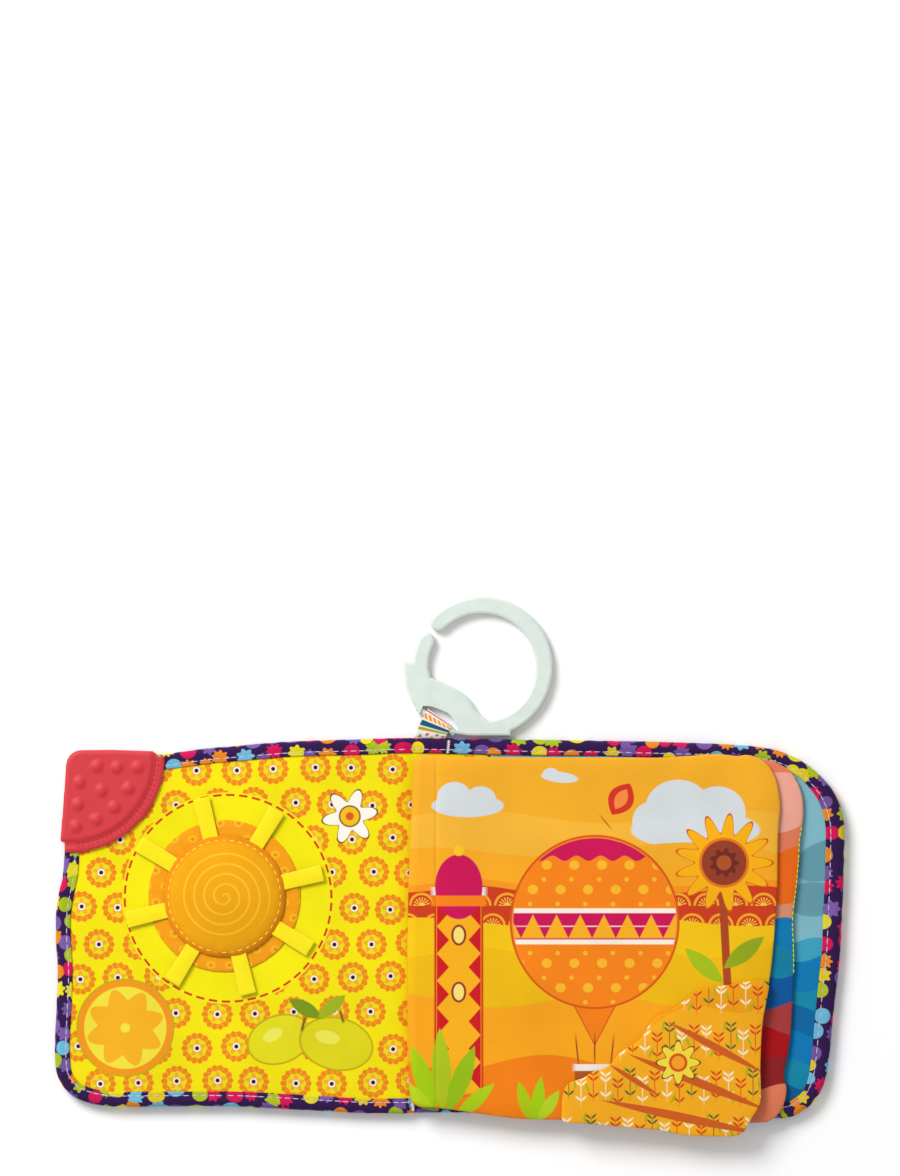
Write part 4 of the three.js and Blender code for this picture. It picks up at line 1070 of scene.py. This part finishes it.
# The flap: a small turned pad with a scalloped free edge, sewn on by its right edge,
# so that it lifts off the lower corner of the upper page.
flap_edge = [
    (51.8, -88.9), (61.8, -89.9), (83.8, -91.8), (94.3, -92.7), (105.8, -95), (117.2, -95.7), (127.8, -95.7),
    (132.4, -94.8), (135, -92.1), (137.2, -87.9), (140.4, -82.9), (141.8, -77.4), (141.5, -66), (142, -50.8),
    (143.1, -40.3), (144.7, -32.1), (145.6, -26.4), (144.6, -24.2), (137, -24.9), (124.6, -26.9), (117.2, -28),
    (111, -30.6), (104.6, -35.4), (98.9, -39.2), (94.2, -41), (91, -44.6), (88.2, -49.4), (84.6, -53), (80, -55.6),
    (76.4, -58.6), (73.6, -62.4), (69.8, -65), (64.6, -66.2), (61.2, -69), (57.4, -70), (53.4, -72), (51.4, -76.5),
    (50.9, -83.4),
]
flap_level = 13.45
flap_print = Print("flap_front_print", (238, 158, 10))
flap_print.lay((246, 172, 22), flap_print.hill(-62, 4, 52, 1, 0.2))
cream, brick, fir, moss = (250, 240, 206), (208, 52, 20), (38, 96, 44), (156, 178, 20)
tiled(flap_print, 28, 21, 0.36)
for x, low, high, tone in ((-11.4, -7, 8, cream), (-5.8, -9.6, 5, brick), (-0.2, -6.4, 9.6, fir), (5.4, -9, 6, cream),
                           (11, -7.4, 8.4, brick)):
    flap_print.lay(tone, flap_print.box(x, (low + high) / 2, 0.36, (high - low) / 2))
    for end in (high - 0.6, high - 3, low + 5.2):
        for side in (-1, 1):
            flap_print.lay(tone, flap_print.leaf(x + side * 1.3, end - 1, 0.62, 2.1, -side * 48))
for x, y in ((-8.6, -5), (2.6, 2), (8.2, 0), (-3, 7.4)):
    flap_print.lay(moss, flap_print.leaf(x, y, 0.7, 3, x * 3))
flap_print.place = flap_print.whole
branch = (206, 92, 26)
flap_print.motifs((
    ("leaf", branch, 121, -55, 1.9, 26, 62), ("leaf", branch, 113, -71, 2.2, 36, 68),
    ("leaf", branch, 106, -87, 2.2, 40, 78), ("leaf", branch, 84, -70, 1.4, 15, 58),
    ("rosette", (120, 60, 20), 104, -62, 10.6, 8, 0.2), ("rosette", (244, 220, 60), 104, -62, 9.8, 8, 0.2),
    ("oval", (214, 84, 20), 104, -62, 4.4, 4.4), ("oval", (250, 160, 30), 104, -62, 3.2, 3.2),
))
flap_front = flap_print.done()
flap = sewn("page_flap", pad_of(smooth_line(flap_edge, 2.2), 2.4, (0.5, 1, 1.4), lambda x, y: flap_level, 0.95, 0.3),
            flap_front, page_a_back)
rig.replaces(flap, "flap_face_cloth", "flap_back_cloth")
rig.slot(flap, "flap_cloth")
flap_hinge = Vector((143.15, -55.75, 13)) * mm
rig.blend(flap, "page_a", "flap", start=flap_hinge, end=flap_hinge + Vector((-0.9977, 0.0681, 0)) * 5 * mm)
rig.padded(flap, fill=0.2)

# The crinkle film in the pages and the flap: one thin clear sheet in each, cut well
# inside the seam, which crackles when the page is pressed.
for body, line, level, limit in (
        ("page_b", smooth_line(page_b_edge[::-1], 6), page_b_level, -2.5),
        ("page_a", [point for point in smooth_line(page_a_edge, 6) if point.x > 6 * mm], page_a_level, -2.5),
        ("flap", smooth_line(flap_edge, 5), flap_level, 40)):
    film_line = drawn_in(clipped(line, 0, limit, 1), 2.6)
    film_sheet = sewn(f"{body}_film_sheet", sheet_of(film_line, 10, (), 0.15, lambda x, y, gap, around:
                      level + page_swell(x, y)), crinkle_film, smoothing=0)
    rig.replaces(film_sheet, f"{body}_crinkle_film")
    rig.ride(film_sheet, body)
    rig.slot(film_sheet, "crinkle_film")
    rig.sheet(film_sheet, held="laid", **cut_size(film_line), rests_on=[])


# The sun's patch: a round of orange printed cotton that lies flat on the lining, under the
# ribbons and the stuffed disc. It is cut to a circle and pressed down a little at its edge.
def arc_places(x, y, radius, angles, height=0):
    """Places in metres on an arc round a centre in mm, each with its direction along the arc."""
    return [(Vector((x + radius * math.cos(angle), y + radius * math.sin(angle), height)) * mm,
             Vector((-math.sin(angle), math.cos(angle), 0))) for angle in angles]


def whole_turn(count):
    return [math.tau * k / count for k in range(count)]


def patch_height(x, y, gap, around):
    return 7.22 + 0.1 * pucker(around, 5, 11) * math.exp(-gap / 4) - 0.25 * math.exp(-gap / 0.5)


patch_finish = printed("sun_patch_print", (245, 160, 12), (
    ("oval", (250, 186, 30), 0, 0, 2.3, 2.0), ("oval", (240, 140, 10), 0, 0, 1.1, 1.0)), cell=(8.4, 7.2))
patch_radius = 34.9
patch_line = [spot.xy for spot, along in arc_places(sun_x, sun_y, patch_radius, whole_turn(96))]
sun_patch = sewn("sun_patch", sheet_of(patch_line, 3, (0.6, 1.2), 0.6, patch_height), patch_finish)
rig.replaces(sun_patch, "sun_ring_patch")
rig.ride(sun_patch, "front_cover")
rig.slot(sun_patch, "sun_patch")
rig.sheet(sun_patch, held="stretched", **cut_size(patch_line), rests_on=["front_lining_cloth"])

# The ribbons: eight loops of bright satin, spread round the sun and caught under the edge
# of its disc. Each is a grid folded in two along its length, with air between its layers.
satin_finish = Print("ribbon_satin", (252, 232, 8)).done(roughness=0.45, weave=0.9, sheen=0.3)
ribbon_level = 7.9
for tab in range(8):
    angle = math.radians(13.5 + 45 * tab)
    outwards, sideways = Vector((math.cos(angle), math.sin(angle), 0)), Vector((-math.sin(angle), math.cos(angle), 0))
    loop_bm = unit_grid(24, 8)
    print_places(loop_bm, lambda vert: (vert.co.x * 40 * mm, vert.co.y * 8 * mm))
    for vert in loop_bm.verts:
        way, side = 2 * (vert.co.x + 0.5), vert.co.y
        fold = 1 - abs(1 - way)
        reach = 26.5 + 20 * (1 - (1 - fold) ** 1.15)
        upper = math.copysign(min(1, abs(1 - way) * 14), 1 - way)
        height = ribbon_level + 0.24 * upper + 0.22 * max(0, (31 - reach) / 4) * upper
        height += 0.35 * max(0, (reach - 36) / 10) * (0.4 + 0.3 * wave(tab * 30, reach, 21, 9))
        height += 0.25 * math.sin(math.pi * (side + 0.5)) * (reach > 30)
        breadth = 7.3 + 0.6 * (reach - 26) / 20 - 0.2 * abs(upper)
        vert.co = (Vector((sun_x, sun_y, 0)) + outwards * reach + sideways * side * breadth) * mm \
            + Vector((0, 0, height * mm))
    bmesh.ops.recalc_face_normals(loop_bm, faces=loop_bm.faces)
    ribbon = sewn(f"sun_ribbon_{tab + 1}", thickened(loop_bm, 0.12), satin_finish)
    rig.replaces(ribbon, f"sun_ray_tab_{tab + 1}")
    root = Vector((sun_x, sun_y, ribbon_level)) * mm
    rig.blend(ribbon, "front_cover", f"ray_tab_{tab + 1}", start=root + outwards * 28.1 * mm,
             end=root + outwards * 30.4 * mm)
    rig.slot(ribbon, "ribbon")
    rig.sheet(ribbon, flat=(0.0405, 0.01), held="folded", area=0.0003, rests_on=["front_lining_cloth"])

# The sun's disc: a round of yellow printed cotton over a stuffing, drawn down by a ring of
# gold stitches inside its edge. It is one cut round, domed over the stuffing.
disc_print = Print("sun_disc_print", (240, 166, 2))
disc_u, disc_v = disc_print.local((sun_x, sun_y), (1, 1)).parts()
disc_out = (disc_u * disc_u + disc_v * disc_v).sum("SQRT")
disc_print.lay((232, 142, 2), (disc_out - 24).step(0.4, 0))
swirl = (disc_out / 4.6 + disc_v.sum("ARCTAN2", disc_u) / math.tau).sum("PINGPONG", 0.5)
disc_print.lay((250, 196, 40), (swirl - 0.36).step(8, 0) * disc_out.sum("LESS_THAN", 21))
disc_finish = disc_print.done()
disc_radius, stitch_radius = 28.2, 25.6
disc_line = [spot.xy for spot, along in arc_places(sun_x, sun_y, disc_radius, whole_turn(120))]


def disc_height(x, y, gap, around):
    share = min(1, gap / 26)
    crown = 1.5 * (1 - math.exp(-gap / 0.7)) + 3.1 * (1 - (1 - share) ** 2.4)
    valley = 0.6 * math.exp(-(((gap - 2.6) / 0.8) ** 2))
    gathers = 0.5 * pucker(around, 4.2, 13) * math.exp(-gap / 5) * min(1, gap / 1.2)
    return 7.75 + crown - valley + gathers + 0.3 * wave(x, y, 17, 14) * share


sun_disc = sewn("sun_disc", sheet_of(disc_line, 1.8, (0.5, 0.8, 0.9, 1.1), cloth_thickness * 0.7, disc_height),
                disc_finish)
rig.replaces(sun_disc, "sun_disc_cover", "sun_stuffing")
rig.ride(sun_disc, "front_cover")
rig.slot(sun_disc, "sun_disc")
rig.padded(sun_disc, fill=0.7)

gold_thread = plain_finish("gold_thread", (250, 216, 60), 0.5, 0.6, 0.1, Sheen_Weight=0.3)
disc_angles = whole_turn(44)
disc_stitches = arc_places(sun_x, sun_y, stitch_radius, disc_angles)
for angle, (spot, along) in zip(disc_angles, disc_stitches):
    spot.z = (disc_height(spot.x / mm, spot.y / mm, disc_radius - stitch_radius, angle * disc_radius) + 0.12) * mm
disc_stitch = stitched("disc_stitch", disc_stitches, 2.7, 0.6, gold_thread)
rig.ride(disc_stitch, "front_cover")
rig.slot(disc_stitch, "sun_disc")

# The corner: one moulded red silicone cap over the corner of the front cover, with a
# thin flange that is sewn down in two rows, and ten round bumps for small gums.
silicone = plain_finish("silicone", (198, 38, 48), 0.6, 3, 0.05, Subsurface_Weight=0.1, Subsurface_Scale=0.002)
teether_x, teether_y = -174, 77
flange_radius, corner_radius, body_radius = 43.7, 7, 38.3
flange_arc = arc_places(teether_x, teether_y, flange_radius, np.radians(np.linspace(-92.4, 0.3, 34)))
corner_arc = arc_places(teether_x - 1.5 + corner_radius, 80.2 - corner_radius, corner_radius,
                        np.radians(np.linspace(90, 175, 9)))
cap_line = [spot.xy for spot, along in flange_arc]
cap_line += [Vector(point) * mm for point in ((-133.4, 77.5), (-134.4, 78.8), (-136, 79.7), (-155, 80.4))]
cap_line += [spot.xy for spot, along in corner_arc]
cap_line += [Vector(point) * mm for point in (
    (-176.6, 58), (-177.7, 44), (-178.2, 39.4), (-177.6, 38.3), (-176.2, 38))]
photo_scale, photo_middle_x, photo_middle_y = 0.458, 450, 925
bump_pixels = [(98, 766), (118, 767), (138.5, 767), (80.6, 782), (102.5, 790), (129.3, 788), (79, 804), (115.3, 806.5),
               (97.4, 819), (77, 826)]
bumps = [((px - photo_middle_x) * photo_scale, (photo_middle_y - py) * photo_scale) for px, py in bump_pixels]


def cap_height(x, y, gap, upper):
    """The height of the cap's outer or inner face in mm: a thick body, and a flange that ends in a bead."""
    out = math.hypot(x - teether_x, y - teether_y)
    rounding = 1.2 * max(0, 1 - gap / 1.2) ** 2
    if not upper:
        flange = 1 / (1 + math.exp((body_radius + 0.3 - out) / 0.2))
        return 0.05 + 6.7 * flange + rounding * (1 - flange)
    body = 1 / (1 + math.exp((out - body_radius) / 0.22))
    level = 8.05 - 0.2 * max(0, out - 42.6) + body * (0.85 - rounding)
    bead = 0.35 * (math.exp(-(((out - 41.9) / 0.5) ** 2)))
    swelling = max([0] + [1 - ((x - bx) ** 2 + (y - by) ** 2) / 2.7**2 for bx, by in bumps])
    return level + bead + math.sqrt(swelling) * body - (1 - body) * 0.1


cap_bm, cap_middle = slab_of(cap_line, 0.9, (0.3, 0.4, 0.5))
cap_verts = cap_bm.verts[:]
for vert, gap, around in zip(cap_verts, *along_edge(cap_line, cap_verts)):
    vert.co.z = cap_height(*(vert.co.xy / mm), gap, vert.co.z > cap_middle) * mm
bmesh.ops.recalc_face_normals(cap_bm, faces=cap_bm.faces)
teether = sewn("silicone_corner", cap_bm, silicone)
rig.replaces(teether, "teether_corner")
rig.ride(teether, "front_cover")
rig.slot(teether, "silicone")
red_thread = plain_finish("red_thread", (190, 30, 44), 0.6, 0.6, 0.1)
cap_angles = [math.radians(-86 + 86 * (count + 0.5) / 26) for count in range(26)]
cap_stitches = [place for radius in (39.4, 41) for place in arc_places(teether_x, teether_y, radius, cap_angles, 8.12)]
cap_stitch = stitched("corner_stitch", cap_stitches, 1.7, 0.45, red_thread)
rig.ride(cap_stitch, "front_cover")
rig.slot(cap_stitch, "silicone")

# The clip ring: one rigid pale plastic moulding with a springy arm and a slotted foot. It
# keeps its own solid, in a smooth finish that lets a little light in.
ring_plastic = plain_finish("ring_plastic", (206, 217, 209), 0.38, 6, 0.03, Subsurface_Weight=0.1,
                            Subsurface_Scale=0.002)
ring_materials = frame["nodes"]["clip_ring"].data.materials
ring_materials.clear()
ring_materials.append(ring_plastic)

# The tape: a printed cotton tape passed through the ring's slot, folded double, with both
# ends caught in the binding at the top of the spine. It is a grid bent round the bar.
tape_print = Print("tape_print", (244, 242, 236))
tape_print.motifs((
    ("box", (204, 12, 44), 1.5, 0, 0.45, 100), ("box", (240, 150, 36), 3.8, 0, 1.35, 100),
    ("box", (20, 88, 116), 6.9, 0, 1.4, 100), ("box", (176, 164, 24), 9.4, 0, 0.9, 100),
))
twist_u, twist_v = tape_print.place.parts()
twist = ((twist_u * 0.9 + twist_v) * (math.tau / 2.6)).sum("SINE")
tape_print.lay((246, 238, 224), tape_print.box(3.8, 0, 1.35, 100) * twist.sum("GREATER_THAN", 0.5))
tape_print.motifs((
    ("rosette", (216, 30, 40), 12.6, 1.6, 1.3, 5, 0.3), ("rosette", (60, 140, 60), 11.8, 4.6, 1.3, 5, 0.3),
    ("rosette", (230, 190, 30), 13.6, 6.6, 1.3, 5, 0.3), ("rosette", (216, 30, 40), 12, 9.4, 1.3, 5, 0.3),
    ("rosette", (60, 140, 60), 13, 12.4, 1.3, 5, 0.3),
))
tape_finish = tape_print.done(weave=0.7)
tape_bm = unit_grid(40, 16)
print_places(tape_bm, lambda vert: (abs(vert.co.x) * 29 * mm, (vert.co.y + 0.5) * 15 * mm))
far_start, far_end = Vector((-10.2, 99.4, 2.5)), Vector((0.9, 91.3, 2.5))
seam_start, seam_end = Vector((-17, 85.3, 3.2)), Vector((-2.2, 85.3, 3.2))
for vert in tape_bm.verts:
    way, side = vert.co.x + 0.5, 1 - (vert.co.y + 0.5)
    near, far = seam_start.lerp(seam_end, side), far_start.lerp(far_end, side)
    out = 1 - abs(1 - 2 * way)
    lift = math.copysign(1, 1 - 2 * way) * min(1, abs(1 - 2 * way) * 6) ** 0.5
    spot = near.lerp(far, min(1, out * 1.04))
    spot.z = 2.5 + lift * (0.5 + 1.5 * math.sin(math.pi * min(1, out)) ** 0.6)
    vert.co = spot * mm
bmesh.ops.recalc_face_normals(tape_bm, faces=tape_bm.faces)
tape = sewn("hanging_tape", thickened(tape_bm, 0.3), tape_finish)
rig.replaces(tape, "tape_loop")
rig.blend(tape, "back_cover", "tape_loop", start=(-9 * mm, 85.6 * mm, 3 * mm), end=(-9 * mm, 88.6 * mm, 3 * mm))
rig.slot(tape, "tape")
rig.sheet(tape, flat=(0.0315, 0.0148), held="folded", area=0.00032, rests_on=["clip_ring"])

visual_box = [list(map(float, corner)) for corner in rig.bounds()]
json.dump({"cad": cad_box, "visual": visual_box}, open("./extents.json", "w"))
